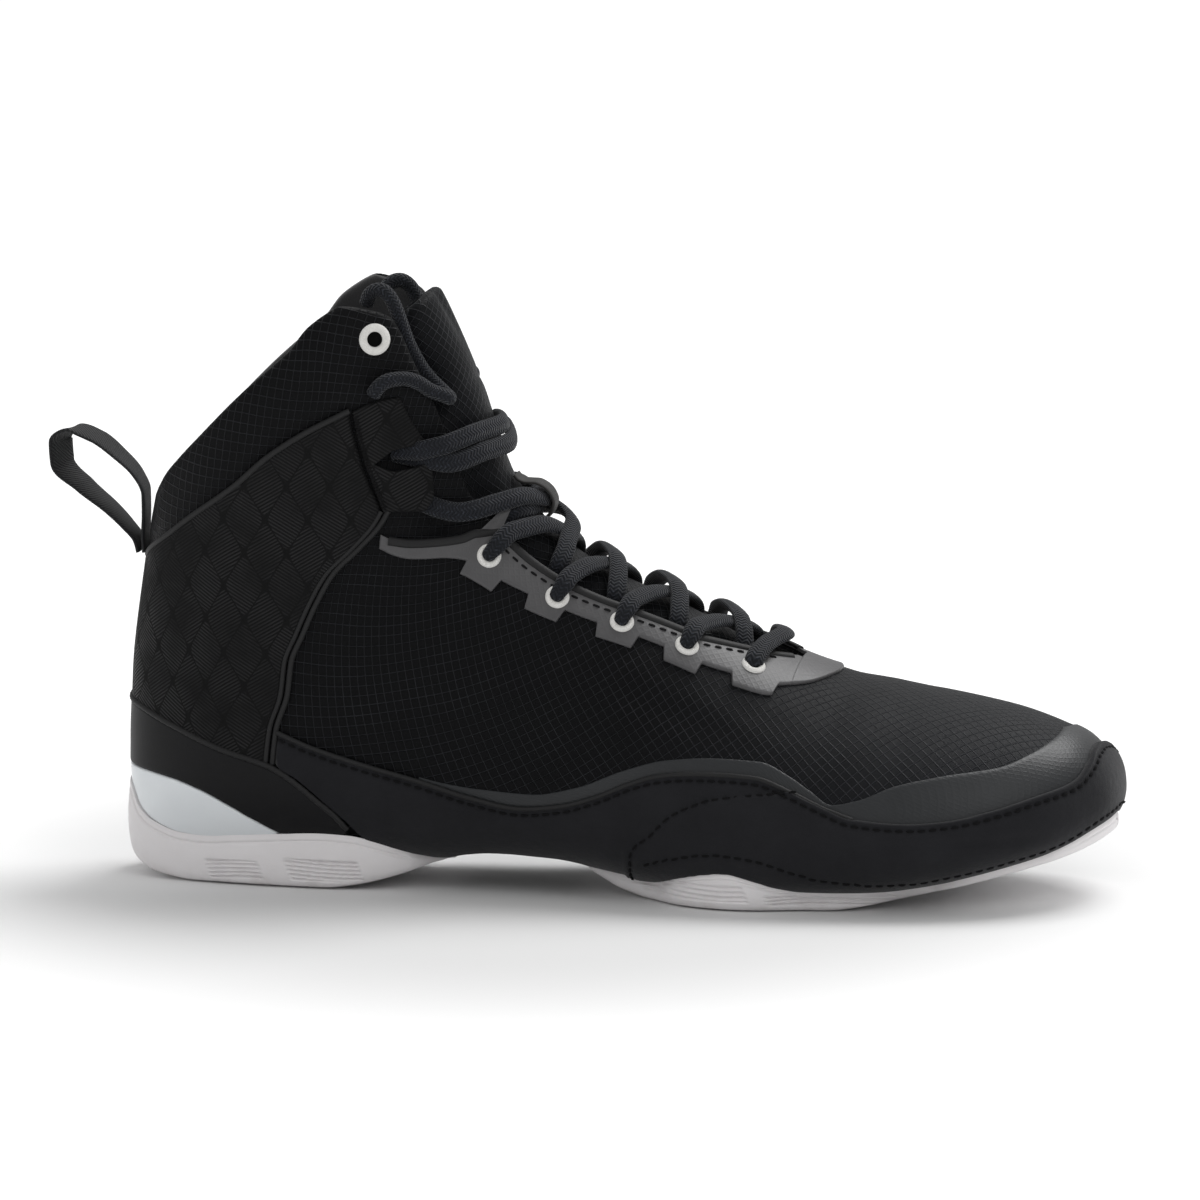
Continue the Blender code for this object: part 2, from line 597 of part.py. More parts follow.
def make_tongue():
    face = np.empty((len(TONGUE_ROWS), len(TONGUE_COLUMNS), 3))
    back = np.empty_like(face)
    for i, u in enumerate(TONGUE_ROWS):
        reach = np.interp(u, [7.7, 9, 12, 20, 25, 25.9], [0.010, 0.019, 0.026, 0.030, 0.034, 0.029])
        padding = np.interp(u, [7.7, 12, 20, 25, 25.9], [0.45, 0.7, 1.0, 1.25, 0.7]) * TONGUE
        for j, share in enumerate(TONGUE_COLUMNS):
            drop = 0.9 * share * share if u > 25.7 else 0.0
            place, normal = over_spot(u - drop, share * reach if share else 1e-6)
            face[i, j] = place - normal * tongue_depth(u, share)
            thick = padding * (1 - 0.55 * abs(share) ** 6)
            back[i, j] = face[i, j] - normal * thick
    shell("tongue", face, back, CLOTH, 0.65)


make_tongue()


# Suede rand: from behind the counter, along the side, round the toe; its toe-cap layer is a step in its thickness
EDGE_GAP = 0.0009
LIP_GAP = 0.0019
RAND_REAR_FOOT = (74.6 * MM, 17.9 * MM)
ARCH_EDGE = np.array([(106, 12.6), (113, 13.2), (120, 13.0), (127, 12.6), (133, 12.4)]) * MM
RAND_UPPER = np.array([(49.9, 47.6), (60, 43.5), (75, 39), (92.4, 34.6), (108, 30.3), (123, 27.8), (135, 29),
                       (146.8, 32.5), (156, 36.5), (164.3, 39.2), (173, 40.3), (181.7, 40.5), (194, 39.9),
                       (205, 36.2), (215, 32), (224, 28.9), (240, 27.8), (251.8, 28.6), (265.3, 31), (281.3, 34.5),
                       (296, 36.7), (307, 40), (320.4, 44)]) * MM
RAND_REAR = np.array([(74.6, 17.9), (69.4, 22.6), (62.9, 28), (55.2, 34.2), (49.4, 38.2), (49.9, 47.6)]) * MM
TOE_CAP_EDGE = np.array([(8, 153), (12, 154), (17, 155), (22, 161), (27, 166), (30, 171), (33.2, 180), (36, 205),
                         (60, 330)]) * MM


RAND_RISE = np.array([0, 0.13, 0.32, 0.62, 1.0])


def lip_line(lip, stations):
    """The line that lies LIP_GAP over a sole unit's lip, with a point at each of its stations."""
    return np.stack([stations, smooth(stations, lip[:, 0], lip[:, 1]) + LIP_GAP], axis=1)


def make_rand():
    lower = np.concatenate([
        [RAND_REAR_FOOT],
        lip_line(HEEL_LIP, HEEL_STATIONS[HEEL_STATIONS > RAND_REAR_FOOT[0]]),
        ARCH_EDGE,
        lip_line(FORE_LIP, np.append(FORE_STATIONS, RAND_UPPER[-1, 0])),
    ])
    shares = measured(lower) / measured(lower)[-1]
    flat = patch(lower, edge(RAND_UPPER, shares), edge(RAND_REAR, RAND_RISE),
                 lower[-1] + np.outer(RAND_RISE, RAND_UPPER[-1] - lower[-1]), RAND_RISE)
    begins = np.interp(flat[..., 1], TOE_CAP_EDGE[:, 0], TOE_CAP_EDGE[:, 1])
    layer = np.clip((flat[..., 0] - begins) / (4 * MM), 0, 1) * TOE_CAP_STEP
    layer[:, -1] = 0
    places, normals = both_sides(flat, start_at_heel=False)
    depth = SUEDE + np.concatenate([layer, layer[-2::-1]])
    overlay("suede_rand", places, normals, depth, SUEDE_BLACK, 0.9)


make_rand()

# Heel wedge, heel counter and ankle panel: each meets the next along a shared line
WEDGE_TOP = np.array([(-16.05, 32.6), (0, 32.3), (15, 31.2), (25, 28.8), (34.6, 24.9), (43, 20.4), (49.5, 17.4)]) * MM
COUNTER_TOP = np.array([(-16.05, 52), (0, 50.6), (11.5, 47.9), (34.6, 40.7), (47.5, 36.8), (54.2, 33), (62, 26.9),
                        (67, 22.9), (70.6, 19.9)]) * MM
PANEL_TOP = np.array([(-16.05, 92.5), (-6, 95.3), (9.7, 101.9), (21, 108.8), (35.9, 118.7), (47.3, 129), (58.6, 136.6),
                      (67, 141), (70.8, 142.9)]) * MM
PANEL_FRONT = np.array([(46.2, 37.9), (47.4, 48.2), (50.6, 58.4), (51.8, 68.6), (55, 76.4), (58.6, 84.9), (64, 94.8),
                        (71.5, 102.5), (77.2, 109), (79.8, 113.5), (77, 121), (74.2, 129), (72, 137),
                        (70.8, 142.9)]) * MM


def above(line, rise):
    """The line, raised."""
    return line + np.array([0, rise])


def make_wedge():
    stations = HEEL_STATIONS[HEEL_STATIONS < 48 * MM]
    stations[0] = WEDGE_TOP[0, 0]
    lower = lip_line(HEEL_LIP, stations)
    shares = measured(lower) / measured(lower)[-1]
    flat = patch(lower, edge(WEDGE_TOP, shares), straight(lower[0], WEDGE_TOP[0], 3),
                 straight(lower[-1], WEDGE_TOP[-1], 3))
    places, normals = both_sides(flat)
    overlay("heel_wedge", places, normals, COUNTER, WHITE, 0.35)


def make_counter():
    tail = lip_line(HEEL_LIP, np.array([52.5, 58, 64, 69]) * MM)
    lower = np.concatenate([above(WEDGE_TOP, EDGE_GAP)[:-1], tail])
    flat = patch(edge(lower, 17), edge(COUNTER_TOP, 17), straight(lower[0], COUNTER_TOP[0], 4),
                 straight(lower[-1], COUNTER_TOP[-1], 4))
    places, normals = both_sides(flat)
    overlay("heel_counter", places, normals, COUNTER, BLACK, 0.45)


def make_panel():
    lower = np.concatenate([above(COUNTER_TOP, EDGE_GAP)[:4], PANEL_FRONT[:1]])
    flat = patch(edge(lower, 12), edge(PANEL_TOP, 12), straight(lower[0], PANEL_TOP[0], 10), edge(PANEL_FRONT, 10))
    places, normals = both_sides(flat)
    overlay("ankle_panel", places, normals, PANEL, SUEDE_BLACK, 0.85)


make_wedge()
make_counter()
make_panel()

# Lace tabs: the ankle panel's front ends, each with a slot that the lace runs through
TAB_REAR = np.array([(80.6, 113.0), (77.8, 121), (75.0, 129), (72.8, 137), (71.6, 143.2)]) * MM
TAB_FRONT = np.array([(92.5, 113.6), (94.6, 118), (94.2, 127.3), (90.4, 136.2), (87.5, 141.5), (84.8, 147.4)]) * MM
TAB_TOP = np.array([(71.6, 143.2), (78.7, 146.2), (84.8, 147.4)]) * MM


def make_tab(name, side):
    flat = patch(straight(TAB_REAR[0], TAB_FRONT[0], 6), edge(TAB_TOP, 6), edge(TAB_REAR, 8), edge(TAB_FRONT, 8))
    places, normals = laid(flat, side)
    keep = np.ones((5, 7), bool)
    keep[1:4, 3] = False
    inside = places + normals * GAP
    shell(name, inside + normals * PANEL, inside, SUEDE_BLACK, 0.85, keep)


for side_name, side_sign in (("outer", -1), ("inner", 1)):
    make_tab("lace_tab_" + side_name, side_sign)

# Eyestay: a film round the throat, toothed on its outer edge, wide under the lace tabs
STAY_END = 19.0
STAY_FRONT = 7.85
STAY_WIDTH = 0.0105
TOOTH = 0.0042


def row_at(x, inset):
    """The row whose point at the given inset from the throat's edge lies at x."""
    rows = np.linspace(8.7, 20, 60)
    places = [over_spot(u, -(edge_arc(u) + inset))[0][0] for u in rows]
    return float(np.interp(-x, -np.array(places), rows))


EYELET_SHARES = np.linspace(0.642, 0.381, EYELETS)
EYELET_ROWS = [row_at(share * LENGTH, EYELET_INSET) for share in EYELET_SHARES]


def stay_width(u):
    """Width of the eyestay at row u: teeth between base and base + TOOTH, then the broad top end."""
    pitch = (EYELET_ROWS[-1] - EYELET_ROWS[0]) / (EYELETS - 1)
    phase = ((u - EYELET_ROWS[0]) / pitch + 0.28) % 1.0
    tooth = TOOTH if phase < 0.5 and u < EYELET_ROWS[-1] + 0.5 * pitch else 0.0
    return STAY_WIDTH + tooth + 0.016 * np.clip((u - 17.2) / 1.5, 0, 1)


def make_eyestay():
    pitch = (EYELET_ROWS[-1] - EYELET_ROWS[0]) / (EYELETS - 1)
    step = 0.02
    rows = [STAY_FRONT, 8.2, THROAT_ROW]
    for k in range(EYELETS):
        start = EYELET_ROWS[0] + (k - 0.28) * pitch
        rows += [start - step, start + step, start + pitch / 4, start + pitch / 2 - step, start + pitch / 2 + step]
    rows = [u for u in rows if u < 17.2] + [17.4, 18.0, 18.5, STAY_END]
    rows = np.array(sorted(rows))
    shares = np.array([1.0, 0.5, 0.0])
    face, keep = [], []
    for u in rows:
        line = []
        for side in (-1, 1):
            start = edge_arc(u, side)
            arcs = np.concatenate([start + 0.0002 + shares * stay_width(u), [start / 2]])
            if u < THROAT_ROW + 0.1:
                arcs[:3] = start + shares * np.interp(u, [STAY_FRONT, THROAT_ROW], [0.002, STAY_WIDTH])
            line.append([over_spot(u, side * arc) for arc in arcs])
        line = line[0] + [over_spot(u, 1e-6)] + line[1][::-1]
        face.append(line)
    places = np.array([[spot[0] for spot in line] for line in face])
    normals = np.array([[spot[1] for spot in line] for line in face])
    keep = np.ones((len(rows) - 1, places.shape[1] - 1), bool)
    keep[rows[:-1] >= THROAT_ROW, 2:-2] = False
    inside = places + normals * GAP
    shell("eyestay", inside + normals * FILM, inside, FILM_GREY, 0.4, keep)


make_eyestay()


def ring_solid(name, centre, normal, outer, hole, height, color):
    """A flat ring with a rounded top, lying on its seat."""
    axis = Vector(normal)
    first = axis.orthogonal().normalized()
    second = axis.cross(first)
    band = (outer - hole) / 4
    middle = (outer + hole) / 4
    profile = [(-band, 0), (-band / 2, height), (band / 2, height), (band, 0)]
    around = 8
    points, faces = [], []
    for k in range(around):
        angle = 2 * math.pi * k / around
        spoke = first * math.cos(angle) + second * math.sin(angle)
        points += [Vector(centre) + spoke * (middle + r) + axis * h for r, h in profile]
    width = len(profile)
    for k in range(around):
        after = (k + 1) % around
        for n in range(width):
            m = (n + 1) % width
            faces.append((k * width + n, k * width + m, after * width + m, after * width + n))
    finish(name, points, faces, color, 0.6)


EYELET_HEIGHT = 0.0008
for side_name, side_sign in (("outer", -1), ("inner", 1)):
    for number, u in enumerate(EYELET_ROWS):
        spot, spot_normal = over_spot(u, side_sign * (edge_arc(u, side_sign) + EYELET_INSET))
        seat = spot + spot_normal * (2 * GAP + FILM + FACET / 2)
        ring_solid(f"eyelet_{side_name}_{EYELETS - number}", seat, spot_normal, EYELET_RING, EYELET_HOLE,
                   EYELET_HEIGHT, WHITE)
    spot, spot_normal = cast((0.263 * LENGTH, side_sign * 0.2, 0.905 * COLLAR_HEIGHT), (0, -side_sign, 0))
    ring_solid(f"cuff_eyelet_{side_name}", spot + spot_normal * (CUFF_PUFF + GAP - FACET / 2), spot_normal,
               CUFF_EYELET_RING, CUFF_EYELET_HOLE, EYELET_HEIGHT, WHITE)


def ribbon(name, path, acrosses, ups, width, thickness, color, rounded):
    """A strip carried along a path: oval in section when rounded, else flat, with closed ends."""
    if rounded:
        turn = np.linspace(0, 2 * math.pi, 6, endpoint=False)
        outline = np.stack([np.cos(turn) * width / 2, np.sin(turn) * thickness / 2], axis=1)
    else:
        outline = np.array([(-0.5, -0.5), (0.5, -0.5), (0.5, 0.5), (-0.5, 0.5)]) * (width, thickness)
    count = len(outline)
    points = [place + across * w + up * h for place, across, up in zip(path, acrosses, ups) for w, h in outline]
    faces = [
        (i * count + j, i * count + (j + 1) % count, (i + 1) * count + (j + 1) % count, (i + 1) * count + j)
        for i in range(len(path) - 1) for j in range(count)
    ]
    faces += [tuple(range(count)), tuple(range((len(path) - 1) * count, len(path) * count))]
    return finish(name, points, faces, color, 0.8)


def through(points, count):
    """A smooth open curve through hand-chosen points, by smooth() on each coordinate along the length."""
    points = np.array(points, float)
    total = measured(points)
    at = np.linspace(0, total[-1], count)
    return np.stack([smooth(at, total, points[:, axis]) for axis in range(points.shape[1])], axis=1)


def strand(name, stops, count=9):
    """A length of lace over the throat, through stops of (row, arc in mm, lift in mm)."""
    spots = [over_spot(u, arc * MM or 1e-6) for u, arc, _ in stops]
    path = through([spot + normal * lift * MM for (spot, normal), (_, _, lift) in zip(spots, stops)], count)
    ups = through([normal for _, normal in spots], count)
    ahead = np.gradient(path, axis=0)
    acrosses = np.cross(ups, ahead)
    acrosses /= np.linalg.norm(acrosses, axis=1, keepdims=True)
    ups = np.cross(ahead, acrosses)
    ups /= np.linalg.norm(ups, axis=1, keepdims=True)
    return ribbon(name, path, acrosses, ups, LACE_WIDTH, LACE_THICKNESS, LACE, True)


def joined(name, first, second):
    """Two strands made one where they cross."""
    body = strand(name, first)
    other = strand(name + "_other", second)
    other.hide_render = True
    other.display_type = "WIRE"
    union = body.modifiers.new("join", "BOOLEAN")
    union.operation = "UNION"
    union.object = other


# Each crossing: a strand from each side's eyelet over the middle to the other side's throat edge, the near
# one underneath. Stops are (row, arc from the instep line, lift), in rows and millimetres.
START_OUT = 1.9
START_LIFT = 3.5
BAR_LIFT = 2.7
EDGE_TUCK = 4.6
TOP_CROSSING_SHIFT = 0.45
for number in range(EYELETS - 1):
    low, high = EYELET_ROWS[number], EYELET_ROWS[number + 1]
    start = edge_arc(high) / MM + START_OUT
    under = low + 0.3
    stop = max(edge_arc(under) / MM - EDGE_TUCK, 4.0)
    middle = (low + high) / 2 - (TOP_CROSSING_SHIFT if number == EYELETS - 2 else 0)
    joined(
        f"lace_crossing_{EYELETS - 1 - number}",
        [(high, -start, START_LIFT), ((high + middle) / 2, -start * 0.5, 1.9), (middle, 0, 1.2),
         (under * 0.6 + middle * 0.4, stop * 0.6, 0.8), (under, stop, 0.2)],
        [(high, start, START_LIFT), ((high + middle) / 2, start * 0.5, 3.3), (middle, 0, 3.4),
         (under * 0.6 + middle * 0.4, -stop * 0.6, 1.8), (under, -stop, 0.2)],
    )
bar_end = edge_arc(EYELET_ROWS[0]) / MM + START_OUT
strand("lace_bar", [(EYELET_ROWS[0], -bar_end, BAR_LIFT), (9.2, -0.5 * bar_end, 4.2), (9.1, 0, 4.6),
                    (9.2, 0.5 * bar_end, 4.2), (EYELET_ROWS[0], bar_end, BAR_LIFT)])
joined(
    "lace_crossing_keeper",
    [(16.5, -16.5, -0.4), (16.05, -8, 0.0), (15.9, 0, 0.2), (16.6, 10, 0.8), (17.2, 18, 2.2), (17.8, 26, 3.2)],
    [(16.5, 16.5, -0.4), (16.05, 8, 1.9), (15.9, 0, 2.9), (16.6, -10, 2.4), (17.2, -18, 2.4), (17.8, -26, 3.2)],
)
joined(
    "lace_crossing_ankle",
    [(20.05, -27.5, 2.6), (19.3, -15, 1.6), (18.75, 0, 1.4), (19.4, 14, 3.4), (20.3, 23, 3.8), (20.8, 28, 3.2)],
    [(20.05, 27.5, 2.6), (19.9, 15, 1.4), (19.55, 0, 1.0), (20.1, -15, 1.4), (20.8, -28, 3.0)],
)

# The keeper: webbing sewn to the tongue at its toe and ankle ends, that the laces pass under from side to side
KEEPER_PATH = np.array([(17.35, -0.5), (17.1, 0.1), (16.85, 1.6), (16.6, 3.8), (16.25, 5.2), (15.9, 5.5), (15.6, 4.7),
                        (15.42, 2.9), (15.36, 1.2), (15.34, -0.4)])
KEEPER_WIDTH = 0.0080
KEEPER_THICKNESS = 0.0010


def make_keeper():
    spots = [over_spot(row, 1e-6) for row, _ in KEEPER_PATH]
    path = np.array([spot + normal * lift * MM for (spot, normal), (_, lift) in zip(spots, KEEPER_PATH)])
    ahead = np.gradient(path, axis=0)
    ahead /= np.linalg.norm(ahead, axis=1, keepdims=True)
    across = np.repeat([[0.0, 1.0, 0.0]], len(path), axis=0)
    ribbon("tongue_keeper", path, across, np.cross(ahead, across), KEEPER_WIDTH, KEEPER_THICKNESS, BLACK, False)


make_keeper()

# Pull loop: webbing sewn to the back seam under the cuff, turned a little toward the outer side at its tip
PULL_LOOP = np.array([(5.4, 95), (5.1, 100), (5.3, 106), (5.2, 112), (2.8, 117.5), (-2.5, 123), (-9.5, 128.2),
                      (-16, 130.3), (-20.3, 127), (-19.8, 120.5), (-13, 113.5), (-5, 107), (-0.2, 102.2), (2.8, 98.4),
                      (3.7, 95)])
LOOP_TURN = math.radians(24)


def make_pull_loop():
    flat = through(PULL_LOOP * MM, 26)
    path = np.stack([flat[:, 0], np.zeros(len(flat)), flat[:, 1]], axis=1)
    ahead = np.gradient(path, axis=0)
    ahead /= np.linalg.norm(ahead, axis=1, keepdims=True)
    turn = LOOP_TURN * np.clip((4 * MM - path[:, 0]) / (22 * MM), 0, 1)
    across = np.stack([np.sin(turn), np.cos(turn), 0 * turn], axis=1)
    across -= ahead * (across * ahead).sum(axis=1, keepdims=True)
    across /= np.linalg.norm(across, axis=1, keepdims=True)
    ribbon("pull_loop", path, across, np.cross(ahead, across), LOOP_WIDTH, LOOP_THICKNESS, BLACK, False)


make_pull_loop()


# The lace's two ends: from behind each tab's top, over its edge, down beside the collar and up over the tongue
LACE_END = np.array([
    # x, y on the outer side, z, and how much further out the inner side's lies
    (78.0, -28.9, 148.4, 1.5), (79.6, -29.6, 150.8, 1.5), (82.6, -28.6, 152.8, 1.6), (86.4, -26.4, 153.0, 1.7),
    (90.4, -23.9, 151.6, 1.9), (93.8, -21.9, 148.8, 2.2), (98.9, -19.6, 146.6, 2.4), (98.6, -16.2, 145.8, 0.5),
    (94.8, -15.1, 149.0, 0.6), (91.0, -15.4, 153.0, 0.9), (88.4, -16.0, 157.4, 0.5), (86.2, -16.6, 162.0, 0.3),
    (84.6, -17.2, 166.8, 0.2), (83.0, -17.4, 171.4, 0.2), (81.0, -17.0, 175.4, 0.2), (78.0, -16.0, 177.6, 0.1),
    (74.8, -14.6, 176.2, 0.0), (73.2, -13.2, 172.6, 0.0),
]) * MM
LACE_CORD = 0.0034


def make_lace_end(name, side):
    """A free end of the lace: a tube along its own points, with closed ends."""
    route = LACE_END[:, :3] * (1, 1, 1)
    if side > 0:
        route[:, 1] = LACE_END[:, 3] - route[:, 1]
    count = int(round(measured(route)[-1] / (2.4 * LACE_CORD))) + 1
    curve = bpy.data.curves.new(name, "CURVE")
    curve.dimensions = "3D"
    curve.bevel_depth = LACE_CORD / 2
    curve.bevel_resolution = 2
    curve.use_fill_caps = True
    spline = curve.splines.new("POLY")
    spline.points.add(count - 1)
    for point, place in zip(spline.points, through(route, count)):
        point.co = (*place, 1)
    piece = bpy.data.objects.new(name, curve)
    bpy.context.collection.objects.link(piece)
    curve.materials.append(bpy.data.materials["lace_bar"])


make_lace_end("lace_end_outer", -1)
make_lace_end("lace_end_inner", 1)


def centre_on_sole():
    """Moves every piece so that the shoe's box, without the lace's ends, stands centred on the origin."""
    meshes = [piece for piece in bpy.data.objects if piece.type == "MESH"]
    corners = np.array([vertex.co for piece in meshes for vertex in piece.data.vertices])
    low, high = corners.min(axis=0), corners.max(axis=0)
    shift = -Vector(((low[0] + high[0]) / 2, (low[1] + high[1]) / 2, low[2]))
    for piece in bpy.data.objects:
        piece.location = shift


centre_on_sole()
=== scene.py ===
"""A wrestling shoe for the right foot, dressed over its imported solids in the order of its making."""

import math

import bmesh
import bpy
import numpy as np
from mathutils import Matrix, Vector
from mathutils.bvhtree import BVHTree


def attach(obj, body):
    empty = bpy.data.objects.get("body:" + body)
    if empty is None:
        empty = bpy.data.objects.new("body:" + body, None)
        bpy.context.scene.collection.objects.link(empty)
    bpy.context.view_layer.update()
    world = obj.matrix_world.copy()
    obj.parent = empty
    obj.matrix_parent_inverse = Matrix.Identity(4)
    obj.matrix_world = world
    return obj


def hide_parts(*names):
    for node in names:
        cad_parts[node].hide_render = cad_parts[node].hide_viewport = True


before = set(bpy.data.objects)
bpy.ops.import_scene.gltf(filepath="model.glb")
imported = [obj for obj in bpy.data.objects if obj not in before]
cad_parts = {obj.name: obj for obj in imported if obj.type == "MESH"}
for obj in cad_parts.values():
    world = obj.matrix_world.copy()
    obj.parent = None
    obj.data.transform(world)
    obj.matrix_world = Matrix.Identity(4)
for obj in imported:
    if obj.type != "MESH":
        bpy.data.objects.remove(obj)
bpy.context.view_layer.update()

# Camera: a long lens seen as parallel, ten degrees round towards the toe and ten degrees above the floor.
# The aim is the shoe's own middle in the photograph's square frame, whose side spans SEEN metres.
MM = 0.001
AZIMUTH = math.radians(10)
ELEVATION = math.radians(10)
SEEN = 0.3525
AIM = Vector((4.2, 0.46, 84.0)) * MM
DISTANCE = 2.0
LEVEL = math.cos(ELEVATION)
back = Vector((math.sin(AZIMUTH) * LEVEL, -math.cos(AZIMUTH) * LEVEL, math.sin(ELEVATION)))
camera = bpy.data.objects.new("camera", bpy.data.cameras.new("camera"))
bpy.context.collection.objects.link(camera)
camera.data.type = "ORTHO"
camera.data.ortho_scale = SEEN
camera.location = AIM + back * DISTANCE
camera.rotation_euler = (-back).to_track_quat("-Z", "Y").to_euler()
bpy.context.scene.camera = camera


# The last that everything is drawn over. Its sections run from the toe to the collar, and their sizes are
# shares of the shoe's length, widths and heights. HOME is where the heel's back corner of the last lies in
# the frame.
HOME = np.array([-136.3648, 0.458, 0.0]) * MM
LENGTH = 0.295
BALL_WIDTH = 0.094
HEEL_WIDTH = 0.064
INSTEP = 0.100
COLLAR_HEIGHT = 0.1815
BACK_HEIGHT = 0.1137
HEEL_SEAT = 0.009
TOE_SPRING = 0.020
THROAT_GAP = 0.0180
FORE = np.array([
    # under_x, seat, spring, over_x, over_z, outer, inner, ridge, widest, square_under, square_over
    (0.994, 0.50, 1.325, 0.994, 0.310, 0.053, 0.053, 0.053, 0.50, 2.0, 2.0),
    (0.989, 0.50, 1.045, 0.987, 0.393, -0.096, 0.202, 0.053, 0.42, 2.2, 2.2),
    (0.972, 0.50, 0.805, 0.965, 0.466, -0.207, 0.298, 0.050, 0.36, 2.5, 2.2),
    (0.944, 0.50, 0.620, 0.937, 0.502, -0.309, 0.378, 0.050, 0.32, 2.8, 2.15),
    (0.905, 0.50, 0.440, 0.897, 0.542, -0.388, 0.436, 0.050, 0.30, 3.0, 2.1),
    (0.861, 0.50, 0.275, 0.851, 0.572, -0.445, 0.474, 0.052, 0.28, 3.2, 2.05),
    (0.814, 0.50, 0.145, 0.803, 0.598, -0.479, 0.489, 0.052, 0.27, 3.4, 2.0),
    (0.763, 0.50, 0.045, 0.754, 0.622, -0.496, 0.487, 0.050, 0.26, 3.5, 2.0),
    (0.708, 0.50, 0.000, 0.705, 0.656, -0.500, 0.468, 0.045, 0.25, 3.5, 2.0),
    (0.651, 0.50, 0.000, 0.661, 0.705, -0.489, 0.439, 0.035, 0.25, 3.5, 2.05),
    (0.593, 0.52, 0.000, 0.617, 0.765, -0.466, 0.406, 0.025, 0.25, 3.4, 2.1),
    (0.532, 0.68, 0.000, 0.573, 0.828, -0.436, 0.374, 0.015, 0.26, 3.3, 2.2),
    (0.468, 1.00, 0.000, 0.531, 0.883, -0.404, 0.345, 0.005, 0.27, 3.1, 2.3),
])
REAR = np.array([
    # under_x, seat, back, over_x, over_z, outer, inner, ridge, widest, square_under, square_over
    (0.400, 1.13, 0.000, 0.492, 0.935, -0.556, 0.478, 0.0, 0.28, 3.0, 2.35),
    (0.332, 0.98, 0.000, 0.459, 0.990, -0.531, 0.472, 0.0, 0.29, 3.0, 2.4),
    (0.261, 1.00, 0.000, 0.431, 1.074, -0.516, 0.478, 0.0, 0.29, 3.0, 2.4),
    (0.190, 1.00, 0.000, 0.412, 1.160, -0.506, 0.488, 0.0, 0.30, 3.0, 2.4),
    (0.122, 1.00, 0.000, 0.397, 1.233, -0.500, 0.490, 0.0, 0.31, 2.9, 2.4),
    (0.063, 1.00, 0.004, 0.387, 1.313, -0.492, 0.488, 0.0, 0.34, 2.7, 2.35),
    (0.024, 1.00, 0.053, 0.380, 1.393, -0.484, 0.484, 0.0, 0.38, 2.4, 2.3),
    (0.011, 1.00, 0.162, 0.372, 1.476, -0.481, 0.481, 0.0, 0.42, 2.2, 2.3),
    (0.009, 1.00, 0.287, 0.364, 1.562, -0.481, 0.481, 0.0, 0.45, 2.15, 2.3),
    (0.010, 1.00, 0.411, 0.354, 1.650, -0.484, 0.484, 0.0, 0.47, 2.1, 2.3),
    (0.012, 1.00, 0.535, 0.344, 1.736, -0.490, 0.490, 0.0, 0.48, 2.1, 2.25),
    (0.017, 1.00, 0.659, 0.334, 1.816, -0.497, 0.497, 0.0, 0.49, 2.1, 2.2),
    (0.023, 1.00, 0.783, 0.324, 1.890, -0.503, 0.503, 0.0, 0.50, 2.1, 2.2),
    (0.028, 1.00, 0.893, 0.314, 1.951, -0.509, 0.509, 0.0, 0.50, 2.1, 2.2),
    (0.030, 1.00, 1.000, 0.305, 2.000, -0.516, 0.516, 0.0, 0.50, 2.1, 2.2),
])
TOP_ROW = len(FORE) + len(REAR) - 1
THROAT_ROW = 8.55
TOP_LINE = np.array([(0.0, 0.0), (0.10, 3.4), (0.25, 5.2), (0.45, 7.0), (0.60, 7.4), (0.70, 9.4),
                     (0.79, 8.6), (0.90, 3.0), (1.0, 0.0)]) * (1.0, MM)


def smooth(at, knots, values):
    """Monotone cubic: each knot's slope is the harmonic mean of the slopes beside it, with Hermite
    pieces between."""
    knots = np.asarray(knots, float)
    values = np.asarray(values, float)
    steps = np.diff(knots)
    rise = np.diff(values) / steps
    product = rise[:-1] * rise[1:]
    mean = np.where(product > 0, 2 * product / np.where(product > 0, rise[:-1] + rise[1:], 1.0), 0.0)
    slopes = np.concatenate([[rise[0]], mean, [rise[-1]]])
    at = np.clip(at, knots[0], knots[-1])
    k = np.clip(np.searchsorted(knots, at, side="right") - 1, 0, len(steps) - 1)
    t = (at - knots[k]) / steps[k]
    start = values[k] * (1 + 2 * t) * (1 - t) ** 2 + steps[k] * slopes[k] * t * (1 - t) ** 2
    return start + values[k + 1] * t * t * (3 - 2 * t) + steps[k] * slopes[k + 1] * t * t * (t - 1)


def ramp(value, low, high):
    """Zero below low, one above high, and an even S between: 3t squared less 2t cubed."""
    t = np.clip((value - low) / (high - low), 0, 1)
    return t * t * (3 - 2 * t)


def section_rows():
    """Each section in metres: under (x, z), over (x, z), outer, inner and ridge y, widest, and the two
    squareness."""
    rows = []
    for table, width in ((FORE, BALL_WIDTH), (REAR, HEEL_WIDTH)):
        lift = TOE_SPRING if table is FORE else BACK_HEIGHT - HEEL_SEAT
        seat = table[:, 1] * HEEL_SEAT + table[:, 2] * lift
        over = np.minimum(table[:, 4], 1) * INSTEP
        over += np.maximum(table[:, 4] - 1, 0) * (COLLAR_HEIGHT - INSTEP)
        ends = np.stack([table[:, 0] * LENGTH, seat, table[:, 3] * LENGTH, over], axis=1)
        rows.append(np.concatenate([ends, table[:, 5:8] * width, table[:, 8:11]], axis=1))
    return np.concatenate(rows)


rows_m = section_rows()
beyond = rows_m[1].copy()
beyond[[1, 3, 4, 5]] = rows_m[1][[3, 1, 5, 4]]
padded_rows = np.concatenate([[beyond], rows_m, [2 * rows_m[-1] - rows_m[-2]]])
TURN = np.linspace(0, math.pi, 181)


